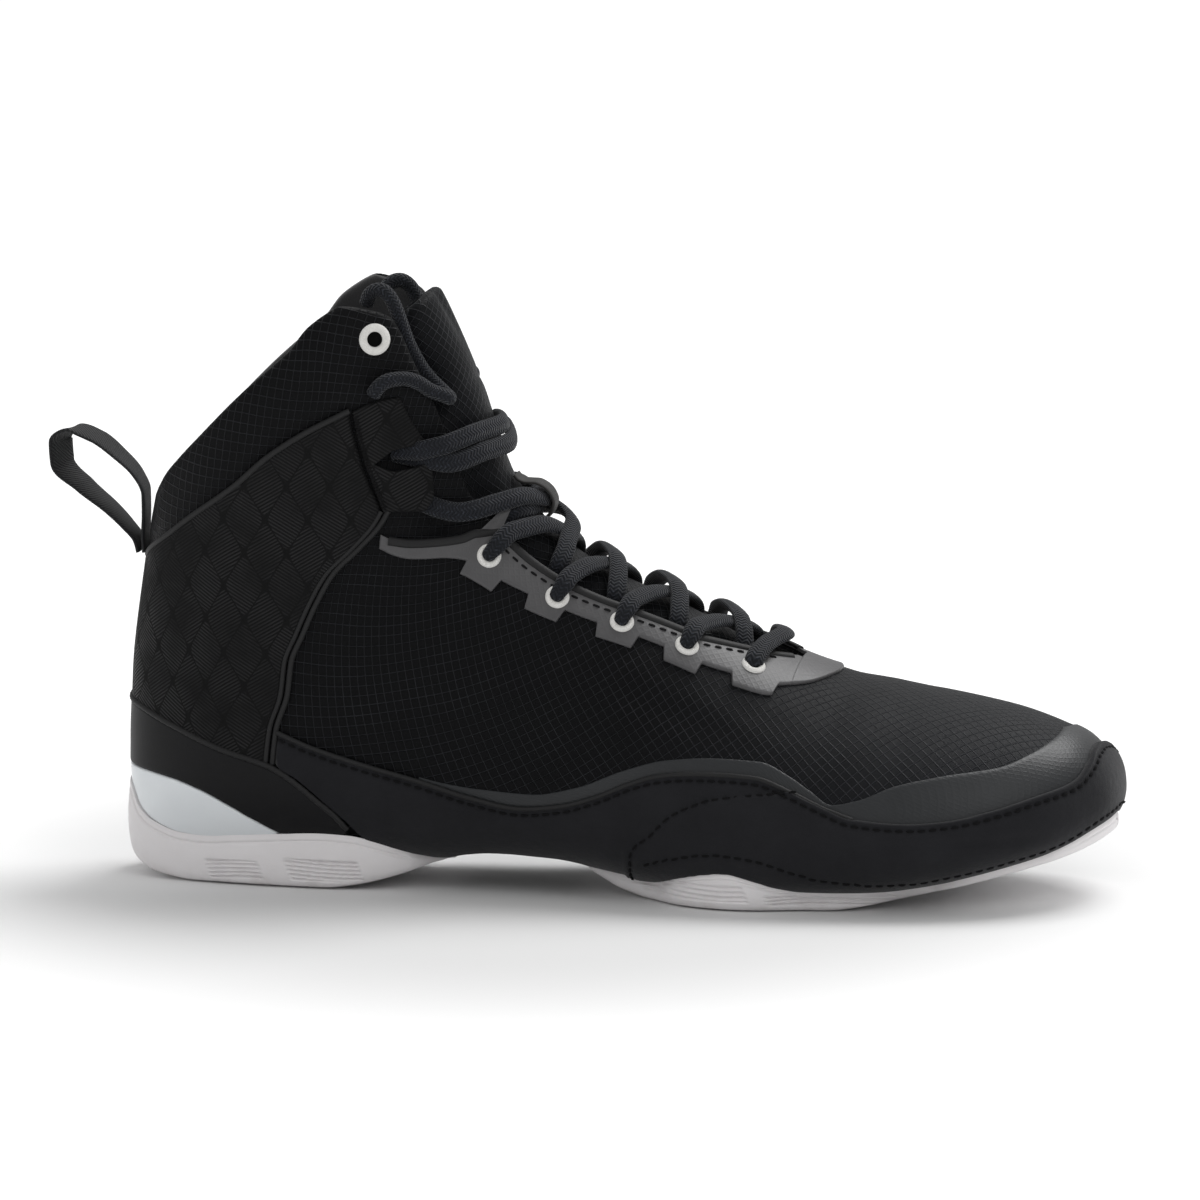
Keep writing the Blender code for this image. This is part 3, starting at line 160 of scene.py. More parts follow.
def sections(u):
    """The last's section at each row of u, by a Catmull-Rom curve through the rows, even over the toe
    tip."""
    k = np.clip(np.floor(u).astype(int), 0, TOP_ROW - 1)
    t = (u - k)[:, None]
    p0, p1, p2, p3 = (padded_rows[k + n] for n in range(4))
    bend = (2 * p0 - 5 * p1 + 4 * p2 - p3) * t * t + (3 * p1 - p0 - 3 * p2 + p3) * t ** 3
    return 0.5 * (2 * p1 + (p2 - p0) * t + bend)


def half_rings(u, side):
    """Half sections from sole to instep: a superellipse, squarer below its widest point than above it."""
    part = sections(u).T[:, :, None]
    under_x, under_z, over_x, over_z, outer, inner, ridge, widest, low_square, high_square = part
    lower = TURN <= math.pi / 2
    square = np.where(lower, low_square, high_square + (0.2 if side > 0 else 0.0))
    cosine = np.abs(np.cos(TURN)) ** (2 / square)
    sine = np.abs(np.sin(TURN)) ** (2 / square)
    share = np.where(lower, widest * (1 - cosine), widest + (1 - widest) * cosine)
    along_x, along_z = over_x - under_x, over_z - under_z
    length = np.maximum(np.hypot(along_x, along_z), 1e-9)
    above = np.clip((u[:, None] - 20) / (TOP_ROW - 20), 0, 1) ** 2.4
    bow = smooth(share, TOP_LINE[:, 0], TOP_LINE[:, 1]) * above
    reach = (ridge - outer) if side < 0 else (inner - ridge)
    x = under_x + along_x * share - along_z / length * bow
    z = under_z + along_z * share + along_x / length * bow
    return np.stack([x, ridge + side * reach * sine, z], axis=2)


FINE_ROWS = np.concatenate([np.linspace(0.02, 3, 180), np.linspace(3, TOP_ROW, 721)[1:]])
FINE_SHARES = np.linspace(0, 1, 301)
fine, girth, throat = {}, {}, {}
for side_sign in (-1, 1):
    rings = half_rings(FINE_ROWS, side_sign)
    steps = np.linalg.norm(np.diff(rings, axis=1), axis=2)
    travelled = np.concatenate([np.zeros((len(rings), 1)), np.cumsum(steps, axis=1)], axis=1)
    girth[side_sign] = travelled[:, -1]
    fine[side_sign] = np.array([
        np.stack([np.interp(FINE_SHARES * t[-1], t, ring[:, axis]) for axis in range(3)], axis=1)
        for ring, t in zip(rings, travelled)
    ])
    opening = np.clip((FINE_ROWS - THROAT_ROW) / 2.1, 0.05, 1) ** 0.5
    opening += 0.030 * np.maximum(FINE_ROWS - 19, 0) + 0.16 * np.maximum(FINE_ROWS - 25.6, 0) ** 2
    ridge_y = sections(FINE_ROWS)[:, 6]
    over = TURN > math.pi / 2
    throat[side_sign] = girth[side_sign] - np.array([
        np.interp(-gap * THROAT_GAP, -np.abs(ring[over, 1] - y), t[over])
        for ring, t, gap, y in zip(rings, travelled, opening, ridge_y)
    ])


def on_last(u, arc, side):
    """Places on the last at row u and arc metres down one side from the instep line, by bilinear
    interpolation."""
    row = np.interp(u, FINE_ROWS, np.arange(len(FINE_ROWS)))
    share = 1 - arc / np.interp(u, FINE_ROWS, girth[side])
    column = np.clip(share, 0, 1) * (len(FINE_SHARES) - 1)
    i = np.minimum(row.astype(int), len(FINE_ROWS) - 2)
    j = np.minimum(column.astype(int), len(FINE_SHARES) - 2)
    f, g = (row - i)[..., None], (column - j)[..., None]
    grid = fine[side]
    near = grid[i, j] * (1 - g) + grid[i, j + 1] * g
    return near * (1 - f) + (grid[i + 1, j] * (1 - g) + grid[i + 1, j + 1] * g) * f


def edge_arc(u, side=-1):
    """Arc from the instep line to the throat's edge at row u."""
    return np.interp(u, FINE_ROWS, throat[side])


HEEL_TURN = 0.119 * LENGTH
TOE_TURN = 0.830 * LENGTH
HEEL_RADIUS = 0.508 * HEEL_WIDTH
TOE_RADIUS = 0.511 * BALL_WIDTH
TOE_SHIFT = 0.032 * BALL_WIDTH


# Upper: rip-stop cloth over a thin foam, one wall from the toe to the padded collar, with a brushed lining.
# It is lasted under the foot at its lower edge and open there over the two sole units. Soft folds are
# placed one by one.
WALL = 0.0022
CUFF_WALL = 0.0042
GAP = 0.00035
PANEL_TOP = np.array([
    (-16.05, 92.5), (-6, 95.3), (9.7, 101.9), (21, 108.8), (35.9, 118.7), (47.3, 129), (58.6, 136.6),
    (67, 141), (70.8, 142.9),
]) * MM
FOLDS = np.array([
    # x, z, slope in degrees, half length, half width, depth: over either side of the shoe
    (141, 70, -28, 17, 3.2, 0.55), (157, 62, -24, 17, 3.4, 0.50), (174, 55, -22, 16, 3.6, 0.45),
    (120, 82, -32, 15, 3.4, 0.50), (133, 54, -20, 22, 4.5, -0.40), (190, 58, -30, 12, 3.0, 0.35),
    (104, 66, 62, 16, 4.0, 0.50), (91, 52, 70, 14, 4.0, 0.35), (213, 52, 74, 15, 4.0, 0.45),
    (224, 49, 80, 15, 4.2, -0.35), (235, 46, 84, 13, 3.6, 0.30), (112, 96, 40, 10, 3.2, 0.50),
    (60, 150, 62, 14, 4.0, 0.50), (40, 134, 50, 14, 4.5, 0.40), (78, 160, 78, 12, 3.5, 0.45),
    (22, 116, 48, 12, 4.5, 0.40), (95, 108.5, 6, 7.5, 3.8, 2.6), (87, 129, 14, 8.0, 3.4, 2.2),
]) * (MM, MM, 1, MM, MM, MM)


def normals_of(grid):
    """The way out of a grid whose rows run from the toe and columns from the outer side, from its
    neighbours."""
    out = np.cross(np.gradient(grid, axis=1), np.gradient(grid, axis=0))
    return out / np.maximum(np.linalg.norm(out, axis=2, keepdims=True), 1e-12)


def run_of(points):
    """Metres travelled along a line at each of its points."""
    return np.concatenate([[0], np.cumsum(np.linalg.norm(np.diff(points, axis=0), axis=1))])


def mesh_piece(name, points, faces, uv, materials, kinds=None):
    """An object from arrays of points, quads and a place on the cloth for each point, closed and shaded
    smooth."""
    mesh = bpy.data.meshes.new(name)
    quads = faces if isinstance(faces, list) else faces.tolist()
    mesh.from_pydata((np.asarray(points) + HOME).tolist(), [], quads)
    for material in materials:
        mesh.materials.append(material)
    if kinds is not None:
        mesh.polygons.foreach_set("material_index", np.asarray(kinds, np.int32))
    layer = mesh.uv_layers.new(name="cloth")
    corners = np.empty(len(mesh.loops), np.int32)
    mesh.loops.foreach_get("vertex_index", corners)
    layer.data.foreach_set("uv", np.asarray(uv, np.float32)[corners].ravel())
    work = bmesh.new()
    work.from_mesh(mesh)
    bmesh.ops.remove_doubles(work, verts=work.verts, dist=2e-6)
    bmesh.ops.recalc_face_normals(work, faces=work.faces)
    work.to_mesh(mesh)
    work.free()
    mesh.shade_smooth()
    mesh.set_sharp_from_angle(angle=math.radians(50))
    piece = bpy.data.objects.new(name, mesh)
    bpy.context.collection.objects.link(piece)
    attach(piece, "root")
    return piece


def shell(name, outside, inside, uv, materials, keep=None):
    """A closed sheet between two grids: a quad for each kept cell of both, and a rim along every free
    edge."""
    rows, columns = outside.shape[:2]
    index = np.arange(rows * columns).reshape(rows, columns)
    keep = np.ones((rows - 1, columns - 1), bool) if keep is None else keep
    top = np.stack([index[:-1, :-1], index[1:, :-1], index[1:, 1:], index[:-1, 1:]], axis=2)[keep]
    edges = np.concatenate([np.stack([top[:, n], top[:, (n + 1) % 4]], axis=1) for n in range(4)])
    same = np.sort(edges, axis=1) @ np.array([rows * columns, 1])
    _, first, count = np.unique(same, return_index=True, return_counts=True)
    rim = edges[first[count == 1]]
    under = rows * columns
    walls = np.stack([rim[:, 1], rim[:, 0], rim[:, 0] + under, rim[:, 1] + under], axis=1)
    faces = np.concatenate([top, top[:, ::-1] + under, walls])
    points = np.concatenate([outside.reshape(-1, 3), inside.reshape(-1, 3)])
    kinds = np.zeros(len(faces), int)
    kinds[len(top):2 * len(top)] = len(materials) - 1
    flat = uv.reshape(-1, 2)
    return mesh_piece(name, points, faces, np.concatenate([flat, flat]), materials, kinds)


def node(tree, kind, inputs=None, output=0, **settings):
    """A shader node with its settings and named or numbered inputs, each a value or another node's
    socket."""
    made = tree.nodes.new("ShaderNode" + kind)
    for name, value in settings.items():
        setattr(made, name, value)
    for place, value in (inputs or {}).items():
        if isinstance(value, bpy.types.NodeSocket):
            tree.links.new(value, made.inputs[place])
        else:
            made.inputs[place].default_value = value
    return made.outputs[output]


def calc(tree, operation, *values):
    """One step of arithmetic on sockets or numbers."""
    return node(tree, "Math", dict(enumerate(values)), operation=operation)


def span(tree, value, low, high, first=0.0, last=1.0, soft=False):
    """A value's way from low to high as a way from first to last, held at its ends."""
    ends = {"Value": value, "From Min": low, "From Max": high, "To Min": first, "To Max": last}
    return node(tree, "MapRange", ends, interpolation_type="SMOOTHSTEP" if soft else "LINEAR")


def parts_of(tree, vector):
    """The x, y and z of a vector."""
    split = tree.nodes.new("ShaderNodeSeparateXYZ")
    tree.links.new(vector, split.inputs[0])
    return split.outputs


def finish_of(name, color, roughness, shine=0.5, **sockets):
    """A new material with its even colour, roughness and strength of mirror light, its node tree and its
    shader."""
    material = bpy.data.materials.new(name)
    material.use_nodes = True
    shader = material.node_tree.nodes["Principled BSDF"]
    shader.inputs["Base Color"].default_value = (*color, 1)
    shader.inputs["Roughness"].default_value = roughness
    shader.inputs["Specular IOR Level"].default_value = shine
    for socket, value in sockets.items():
        shader.inputs[socket.replace("_", " ")].default_value = value
    return material, material.node_tree, shader


def mixed(tree, share, low, high):
    """A colour between two, by a share."""
    made = tree.nodes.new("ShaderNodeMix")
    made.data_type = "RGBA"
    tree.links.new(share, made.inputs[0])
    made.inputs[6].default_value = (*low, 1)
    made.inputs[7].default_value = (*high, 1)
    return made.outputs[2]


def tint(tree, shader, share, low, high):
    """A base colour between two, by a share."""
    tree.links.new(mixed(tree, share, low, high), shader.inputs["Base Color"])


def relief(tree, shader, height, depth, below=None):
    """Bump of the given depth in metres, over another bump if one is given."""
    inputs = {"Strength": 1.0, "Distance": depth, "Height": height}
    if below is not None:
        inputs["Normal"] = below
    bumped = node(tree, "Bump", inputs)
    tree.links.new(bumped, shader.inputs["Normal"])
    return bumped


def speckle(tree, size, detail=2.0):
    """Noise whose grains are the given size in metres, on the piece's own coordinates."""
    place = node(tree, "TexCoord", output=3)
    return node(tree, "TexNoise", {"Vector": place, "Scale": 1 / size, "Detail": detail}, output=0)


def thread_lines(tree, pitch_x, pitch_y, angle, width):
    """Two families of raised threads across the cloth's own map: near zero at each pitch, turned by the
    angle."""
    cloth = node(tree, "UVMap")
    turned = node(tree, "Mapping", {"Vector": cloth, "Rotation": (0, 0, angle)})
    runs = []
    for socket, pitch in zip(parts_of(tree, turned), (pitch_x, pitch_y)):
        folded = calc(tree, "PINGPONG", calc(tree, "DIVIDE", socket, pitch), 0.5)
        runs.append(span(tree, folded, 0.0, width, 1.0, 0.0, soft=True))
    return calc(tree, "MAXIMUM", *runs)


def ripstop(name, color, line_color, pitch, angle):
    """Rip-stop cloth: a plain fine weave under a grid of thicker threads, each with a thin shadow line
    beside it. Toward the toe its colour is painted lighter and bluer, a painted sheen of the light from
    above."""
    material, tree, shader = finish_of(name, color, 0.48, 0.09, Sheen_Weight=0.03, Sheen_Roughness=0.3)
    grid = thread_lines(tree, pitch, pitch, angle, 0.11)
    wide_grid = thread_lines(tree, pitch, pitch, angle, 0.24)
    weave = thread_lines(tree, 0.45 * MM, 0.45 * MM, angle, 0.5)
    cloud = speckle(tree, 12 * MM)
    share = calc(tree, "MULTIPLY", grid, calc(tree, "ADD", 0.35, calc(tree, "MULTIPLY", cloud, 0.9)))
    ground = mixed(tree, wide_grid, color, tuple(channel * 0.35 for channel in color))
    threaded = mixed(tree, share, color, line_color)
    tree.links.new(ground, threaded.node.inputs[6])
    forward = parts_of(tree, node(tree, "TexCoord", output=3))[0]
    # Painted sheen: the base colour grows lighter and bluer toward the toe, where the light from above falls.
    painted_toe_sheen = span(tree, forward, 20 * MM, 125 * MM, 0.0, 0.020)
    toe_sheen_mix = mixed(tree, painted_toe_sheen, color, (0.46, 0.49, 0.56))
    tree.links.new(threaded, toe_sheen_mix.node.inputs[6])
    tree.links.new(toe_sheen_mix, shader.inputs["Base Color"])
    below = relief(tree, shader, weave, 0.05 * MM)
    relief(tree, shader, grid, 0.30 * MM, below)
    return material


def folds_at(places):
    """Depth of the folds: a ridge or trough for each, falling off as a bell along and across its line."""
    total = np.zeros(places.shape[:-1])
    for x, z, slope, half_length, half_width, depth in FOLDS:
        cosine, sine = math.cos(math.radians(slope)), math.sin(math.radians(slope))
        dx, dz = places[..., 0] - x, places[..., 2] - z
        run, off = dx * cosine + dz * sine, dz * cosine - dx * sine
        total += depth * np.exp(-(run / half_length) ** 2 - (off / half_width) ** 2)
    return total


def spread_to_s(places):
    """How far along the side each place lies: the inverse of laid, round the heel and the toe."""
    x, y = places[..., 0], places[..., 1]
    heel = HEEL_TURN - HEEL_RADIUS * np.arctan2(HEEL_TURN - x, np.abs(y))
    toe = TOE_TURN + TOE_RADIUS * np.arctan2(x - TOE_TURN, np.abs(y - TOE_SHIFT))
    return np.where(x < HEEL_TURN, heel, np.where(x > TOE_TURN, toe, x))


def make_upper():
    """Rows run from the toe to the collar, and columns from under the foot over each side to the
    throat's edge."""
    rows = np.concatenate([np.linspace(0.02, 3, 36), np.linspace(3, THROAT_ROW, 46)[1:],
                           np.linspace(THROAT_ROW, 26.5, 126)[1:], np.linspace(26.5, TOP_ROW, 12)[1:]])
    under = sections(rows)[:, 5] - sections(rows)[:, 4]
    lasting = 0.30 * under
    close = 1 - np.linspace(1, 0, 70) ** 1.5
    halves, arcs = [], []
    for side in (-1, 1):
        total = np.interp(rows, FINE_ROWS, girth[side])[:, None]
        edge = total - edge_arc(rows, side)[:, None]
        low = lasting[:, None] * np.linspace(0, 1, 5)[None, :-1]
        middle = lasting[:, None] + (edge - lasting[:, None]) * close[None]
        top = edge + (total - edge) * np.linspace(0, 1, 7)[None, 1:]
        arc = np.concatenate([low, middle, top], axis=1)
        halves.append(on_last(np.repeat(rows[:, None], arc.shape[1], axis=1), total - arc, side))
        arcs.append(side * (total - arc))
    grid = np.concatenate([halves[0], halves[1][:, -2::-1]], axis=1)
    arc = np.concatenate([arcs[0], arcs[1][:, -2::-1]], axis=1)
    out = normals_of(grid)
    rise = grid[..., 2] - smooth(spread_to_s(grid), PANEL_TOP[:, 0], PANEL_TOP[:, 1])
    cuff = ramp(rise, 0, 7 * MM) * ramp(rows, 18, 21)[:, None]
    throat_edge = np.where(arc < 0, edge_arc(rows, -1)[:, None], edge_arc(rows, 1)[:, None])
    from_edge = np.abs(arc) - throat_edge
    from_top = (TOP_ROW - rows[:, None]) * 9 * MM
    open_row = (rows >= THROAT_ROW)[:, None]
    near = np.where(open_row, np.minimum(from_edge, from_top), from_top)
    roll_reach = np.where(cuff > 0.5, 2.4 * MM, 1.1 * MM)
    roll = np.sqrt(np.clip(1 - (1 - np.clip(near / roll_reach, 0.02, 1)) ** 2, 0, 1))
    wall = WALL + (CUFF_WALL - WALL) * cuff
    bulge = 1.2 * MM * cuff * ramp(from_top, 0, 9 * MM)
    sunk = ramp(np.where(open_row, from_edge, 1.0), 2 * MM, 12 * MM)
    middle = grid + out * (bulge - wall / 2 - folds_at(grid) * sunk)[..., None]
    outside = middle + out * (wall / 2 * roll)[..., None]
    inside = middle - out * (wall / 2 * roll)[..., None]
    half = halves[0].shape[1]
    keep = np.ones((len(rows) - 1, grid.shape[1] - 1), bool)
    centre = (rows[:-1] + rows[1:]) / 2
    bare = ((centre > 3.6) & (centre < 10.9)) | ((centre > 14.9) & (centre < 18.0))
    keep[bare, :4] = False
    keep[bare, -4:] = False
    keep[rows[:-1] >= THROAT_ROW - 1e-6, half - 7:half + 5] = False
    run = np.repeat(run_of(grid.mean(axis=1))[:, None], grid.shape[1], axis=1)
    cloth = ripstop("ripstop", (0.0024, 0.0025, 0.0030), (0.023, 0.024, 0.027), 2.6 * MM, math.radians(48))
    lining, tree, shader = finish_of("lining", (0.010, 0.010, 0.011), 0.9, Sheen_Weight=0.4)
    relief(tree, shader, speckle(tree, 0.5 * MM), 0.15 * MM)
    piece = shell("upper_cloth", outside, inside, np.stack([run, arc], axis=2), [cloth, lining], keep)
    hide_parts("upper")


make_upper()


# Insole: a cloth-topped foam sheet, cut to the foot's outline, that lies loose over the lasting margin inside
# the upper.
INSOLE = 0.0030


def make_insole():
    """Rows from the toe to the heel, and columns across the seat, each an arc from the sole's centre
    line."""
    rows = np.linspace(1.5, 18.2, 90)
    part = sections(rows)
    halves = []
    for side in (-1, 1):
        total = np.interp(rows, FINE_ROWS, girth[side])
        lasting = 0.30 * (part[:, 5] - part[:, 4])
        reach = lasting + 0.10 * (total - edge_arc(rows, side) - lasting)
        arc = total[:, None] - reach[:, None] * np.linspace(0, 1, 14)[None]
        halves.append(on_last(np.repeat(rows[:, None], 14, axis=1), arc, side))
    seat = np.concatenate([halves[0][:, ::-1], halves[1][:, 1:]], axis=1)
    out = normals_of(seat)
    out *= -np.sign(out[:, :, 2].mean())
    lower = seat - out * (WALL + GAP + 0.1 * MM)
    material, tree, shader = finish_of("insole", (0.013, 0.013, 0.014), 0.9, Sheen_Weight=0.1)
    relief(tree, shader, speckle(tree, 0.4 * MM), 0.12 * MM)
    piece = shell("insole_sheet", lower - out * INSOLE, lower, seat[..., :2], [material])
    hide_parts("insole")


make_insole()


# Sole: two moulded rubber units, bonded under heel and forefoot with a bare arch between. Their sides have
# recessed panels of fine ribs, and a thin groove runs under the lip.
SOLE_LIP = 0.0020
HEEL_LIP = np.array([
    (-16.1, 27.6), (-9.0, 26.6), (-2.0, 20.5), (5.0, 17.0), (14, 14.8), (24, 14.4), (36, 15.2), (51, 16.4),
    (62, 17.0), (71, 16.6), (79, 14.7), (89, 11.8), (97, 10.4), (100, 10.2),
]) * MM
HEEL_TREAD = np.array([(0, 6.0), (5, 3.2), (12, 1.2), (22, 0.0), (62, 0.0), (74, 1.6), (86, 4.6), (95, 7.6),
                       (104, 9.0)]) * MM
FORE_LIP = np.array([
    (138, 11.4), (146, 9.0), (160.7, 7.6), (171.8, 9.9), (179, 11.2), (186.4, 11.8), (193.6, 10.4),
    (201, 8.6), (209, 7.6), (231, 7.6), (245, 9.3), (260, 11.9), (275, 14.6), (287, 17.2), (295, 19.8),
    (307, 23.4), (320.4, 25.4),
]) * MM
FORE_TREAD = np.array([(136, 10.6), (144, 5.4), (153, 1.6), (162, 0.0), (214, 0.0), (231, 1.9), (245, 4.7),
                       (258.6, 8.1), (272, 11.6), (281.6, 14.4), (288, 16.8), (296, 21.0)]) * MM
HEEL_PINCH = np.array([(88, 1.0), (92, 0.96), (96.5, 0.85), (99.5, 0.60)]) * (MM, 1)
FORE_PINCH = np.array([(139, 0.55), (141, 0.82), (145, 0.96), (150, 1.0)]) * (MM, 1)
SIDE_SWELL = np.array([
    (0.0, -1.6), (0.06, 0.1), (0.18, 0.75), (0.30, 1.0), (0.47, 1.17), (0.61, 1.2), (0.78, 1.1),
    (1.0, 0.9),
])
RIB_PANELS = {
    "heel": np.array([
        # s from, s to, z from, z to, rib pitch
        (26.0, 45.5, 1.6, 8.0, 1.25),
        (53.0, 76.0, 2.2, 9.4, 1.25),
    ]) * MM,
    "forefoot": np.array([
        (159.0, 193.0, 2.6, 8.4, 1.5),
        (198.0, 236.0, 1.6, 5.4, 1.1),
    ]) * MM,
}


def outward(s, side):
    """The level way out of the last at s: straight out along its sides, and turning round the heel and
    the toe."""
    heel, toe = (HEEL_TURN - s) / HEEL_RADIUS, (s - TOE_TURN) / TOE_RADIUS
    turn = np.where(s < HEEL_TURN, -heel, np.where(s > TOE_TURN, toe, 0.0))
    return np.stack([np.sin(turn), side * np.cos(turn), np.zeros_like(turn)], axis=-1)


def ring_faces(count, wide):
    """Quads between each closed ring of points and the next."""
    cell = np.arange((count - 1) * wide).reshape(count - 1, wide)
    beside = np.roll(cell, -1, axis=1)
    return np.stack([cell, cell + wide, beside + wide, beside], axis=2).reshape(-1, 4).tolist()


FAR_OUT = 0.2
BELOW = -0.05
coarse_rows, coarse_columns = np.arange(0, len(FINE_ROWS), 2), np.arange(0, len(FINE_SHARES), 4)
hull = np.concatenate([
    fine[-1][np.ix_(coarse_rows, coarse_columns)],
    fine[1][np.ix_(coarse_rows, coarse_columns[::-1])][:, 1:-1],
], axis=1)
rings, wide = hull.shape[:2]
tree = BVHTree.FromPolygons(hull.reshape(-1, 3).tolist(), ring_faces(rings, wide) + [list(range(wide))])


def cast(starts, ways):
    """Where level or rising rays meet the last, and the way out of it there."""
    shape = starts.shape
    hits = [tree.ray_cast(Vector(a), Vector(b)) for a, b in zip(starts.reshape(-1, 3), ways.reshape(-1, 3))]
    hits = [hit if hit[0] is not None else tree.find_nearest(Vector(a) + Vector(b) * FAR_OUT)
            for hit, a, b in zip(hits, starts.reshape(-1, 3), ways.reshape(-1, 3))]
    places = np.array([hit[0] for hit in hits]).reshape(shape)
    out = np.array([hit[1] for hit in hits]).reshape(shape)
    return places, out * -np.sign((out * ways).sum(axis=-1, keepdims=True))


def laid(s, z, side):
    """Places at height z, s metres along one side: round the heel, straight along, and round the toe."""
    s, z = np.broadcast_arrays(np.asarray(s, float), np.asarray(z, float))
    out = outward(s, side)
    middle = np.stack([np.clip(s, HEEL_TURN, TOE_TURN), np.where(s > TOE_TURN, TOE_SHIFT, 0.0), z], axis=-1)
    return cast(middle + out * FAR_OUT, -out)


def sole_unit(name, kind, first, last, pinch, lip, tread, inner_steps):
    """Rings across the unit, each from one lip over the last's underside to the other, and back under
    the tread."""
    s = np.linspace(first, last, 220)
    up = 1 - np.linspace(0, 1, 64) ** 1.1
    panels = RIB_PANELS[kind]
    sides, inners = [], []
    for side in (-1, 1):
        top = smooth(s, lip[:, 0], lip[:, 1])
        place, normal = laid(s, top, side)
        share = np.interp(s, pinch[:, 0], pinch[:, 1])
        narrow = share < 1
        under = np.stack([place[:, 0], place[:, 1] * share, np.full(len(s), BELOW)], axis=1)
        rising = np.repeat([[0.0, 0.0, 1.0]], len(s), axis=0)
        if narrow.any():
            place[narrow], normal[narrow] = cast(under[narrow], rising[narrow])
            top[narrow] = place[narrow, 2] - GAP
        low = np.minimum(smooth(place[:, 0], tread[:, 0], tread[:, 1]), top - 0.9 * MM)
        high = top - low
        out = outward(s, side)
        swell = smooth(up, SIDE_SWELL[:, 0], SIDE_SWELL[:, 1])[None] * SOLE_LIP
        drop = (1 - up)[None] * high[:, None]
        z = low[:, None] + up[None] * high[:, None]
        groove = np.exp(-((drop - 2.3 * MM) / (0.38 * MM)) ** 2)
        cut = 0.6 * MM * groove * ramp(high, 5 * MM, 8 * MM)[:, None]
        for start, end, bottom, ceiling, pitch in panels:
            lean = s[:, None] + 0.35 * (z - bottom)
            inside = (ramp(lean, start, start + 1.2 * MM) * (1 - ramp(lean, end - 1.2 * MM, end))
                      * ramp(z, bottom, bottom + 0.8 * MM) * (1 - ramp(z, ceiling - 0.8 * MM, ceiling)))
            level = z - bottom + 0.6 * MM * np.sin(s / (9 * MM))[:, None]
            cut += inside * (0.7 * MM - 0.4 * MM * np.cos(2 * math.pi * level / pitch))
        full_swell, full_cut = (np.minimum(1, high / height)[:, None] for height in (6 * MM, 8 * MM))
        reach = GAP + swell * full_swell - cut * full_cut
        wall = place[:, None] + out[:, None] * reach[..., None]
        wall[..., 2] = z
        lips = place + normal * GAP
        inner = [lips]
        for depth in inner_steps:
            start = lips - out * depth
            start[:, 2] = BELOW
            hit, up_normal = cast(start, rising)
            inner.append(hit + up_normal * (GAP + 0.15 * MM))
        sides.append(wall)
        inners.append(np.stack(inner, axis=1))
    t = np.linspace(0, 1, 14)[None, 1:-1, None]
    bottom = sides[0][:, -1:] * (1 - t) + sides[1][:, -1:] * t
    level = inners[0][:, -1:] * (1 - t) + inners[1][:, -1:] * t
    level[..., 2] = BELOW
    hit, up_normal = cast(level, np.broadcast_to([0.0, 0.0, 1.0], level.shape))
    ceiling = hit + up_normal * (GAP + 0.15 * MM)
    rings = np.concatenate([inners[0], ceiling, inners[1][:, ::-1], sides[1], bottom[:, ::-1],
                            sides[0][:, ::-1]], axis=1)
    count, wide = rings.shape[:2]
    faces = ring_faces(count, wide) + [list(range(wide)), list(range((count - 1) * wide, count * wide))]
    under = np.zeros(wide, int)
    first_under = inners[0].shape[1] * 2 + ceiling.shape[1] + len(up) - 1
    under[first_under:first_under + bottom.shape[1] + 1] = 1
    kinds = np.concatenate([np.tile(under, count - 1), [0, 0]])
    points = rings.reshape(-1, 3)
    piece = mesh_piece(name, points, faces, points[:, :2], [rubber, tread_rubber], kinds)
    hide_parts("outsole_" + kind)


def rubber_finish(name, grooved):
    """Off-white rubber: faint mottling, a little grey soiling toward the floor, and zigzag bars under
    the sole."""
    material, tree, shader = finish_of(name, (0.70, 0.665, 0.675), 0.62)
    x, y, z = parts_of(tree, node(tree, "TexCoord", output=3))
    cloud = speckle(tree, 7 * MM, 6.0)
    soil = calc(tree, "MULTIPLY", span(tree, z, 0.0, 5 * MM, 1.0, 0.0), span(tree, cloud, 0.45, 0.75))
    mottle = calc(tree, "ADD", calc(tree, "MULTIPLY", soil, 0.6), calc(tree, "MULTIPLY", cloud, 0.22))
    tint(tree, shader, mottle, (0.80, 0.78, 0.79), (0.56, 0.52, 0.51))
    below = relief(tree, shader, speckle(tree, 0.6 * MM, 4.0), 0.04 * MM)
    if grooved:
        bend = calc(tree, "MULTIPLY", calc(tree, "PINGPONG", y, 7 * MM), 0.8)
        wave = calc(tree, "PINGPONG", calc(tree, "ADD", x, bend), 2.2 * MM)
        relief(tree, shader, span(tree, wave, 0.5 * MM, 1.0 * MM), 0.8 * MM, below)
    return material


rubber = rubber_finish("rubber", False)
tread_rubber = rubber_finish("tread_rubber", True)
sole_unit("heel_unit", "heel", -15.9 * MM, 99.5 * MM, HEEL_PINCH, HEEL_LIP, HEEL_TREAD,
          np.array([0.5, 1.8, 4.5, 9]) * MM)
sole_unit("forefoot_unit", "forefoot", 139 * MM, 320.2 * MM, FORE_PINCH, FORE_LIP, FORE_TREAD,
          np.array([1.5, 4, 9, 17]) * MM)


# Suede rand: one band from the counter along each side and round the toe, with a second layer as a toe cap.
# It is turned at its edges and sewn down in rows of black thread, and a band of smooth film lies above it.
SUEDE = 0.0013
TOE_CAP_STEP = 0.0009
LIP_GAP = 0.0004
RAND_UPPER = np.array([
    (49.9, 47.6), (60, 43.5), (75, 39), (92.4, 34.6), (108, 30.3), (123, 27.8), (135, 29), (146.8, 32.5),
    (156, 36.5), (164.3, 39.2), (173, 40.3), (181.7, 40.5), (194, 39.9), (205, 36.2), (215, 32),
    (224, 28.9), (240, 27.8), (251.8, 28.6), (265.3, 31), (281.3, 34.5), (296, 37.4), (305, 41.0),
    (313, 43.8), (320.4, 44.6),
]) * MM
RAND_REAR = np.array([
    (74.6, 17.4), (69.4, 22.6), (62.9, 28), (55.2, 34.2), (49.4, 38.2), (49.9, 47.6),
]) * MM
ARCH_EDGE = np.array([(106, 12.6), (113, 13.2), (120, 13.0), (127, 12.6), (133, 12.4)]) * MM
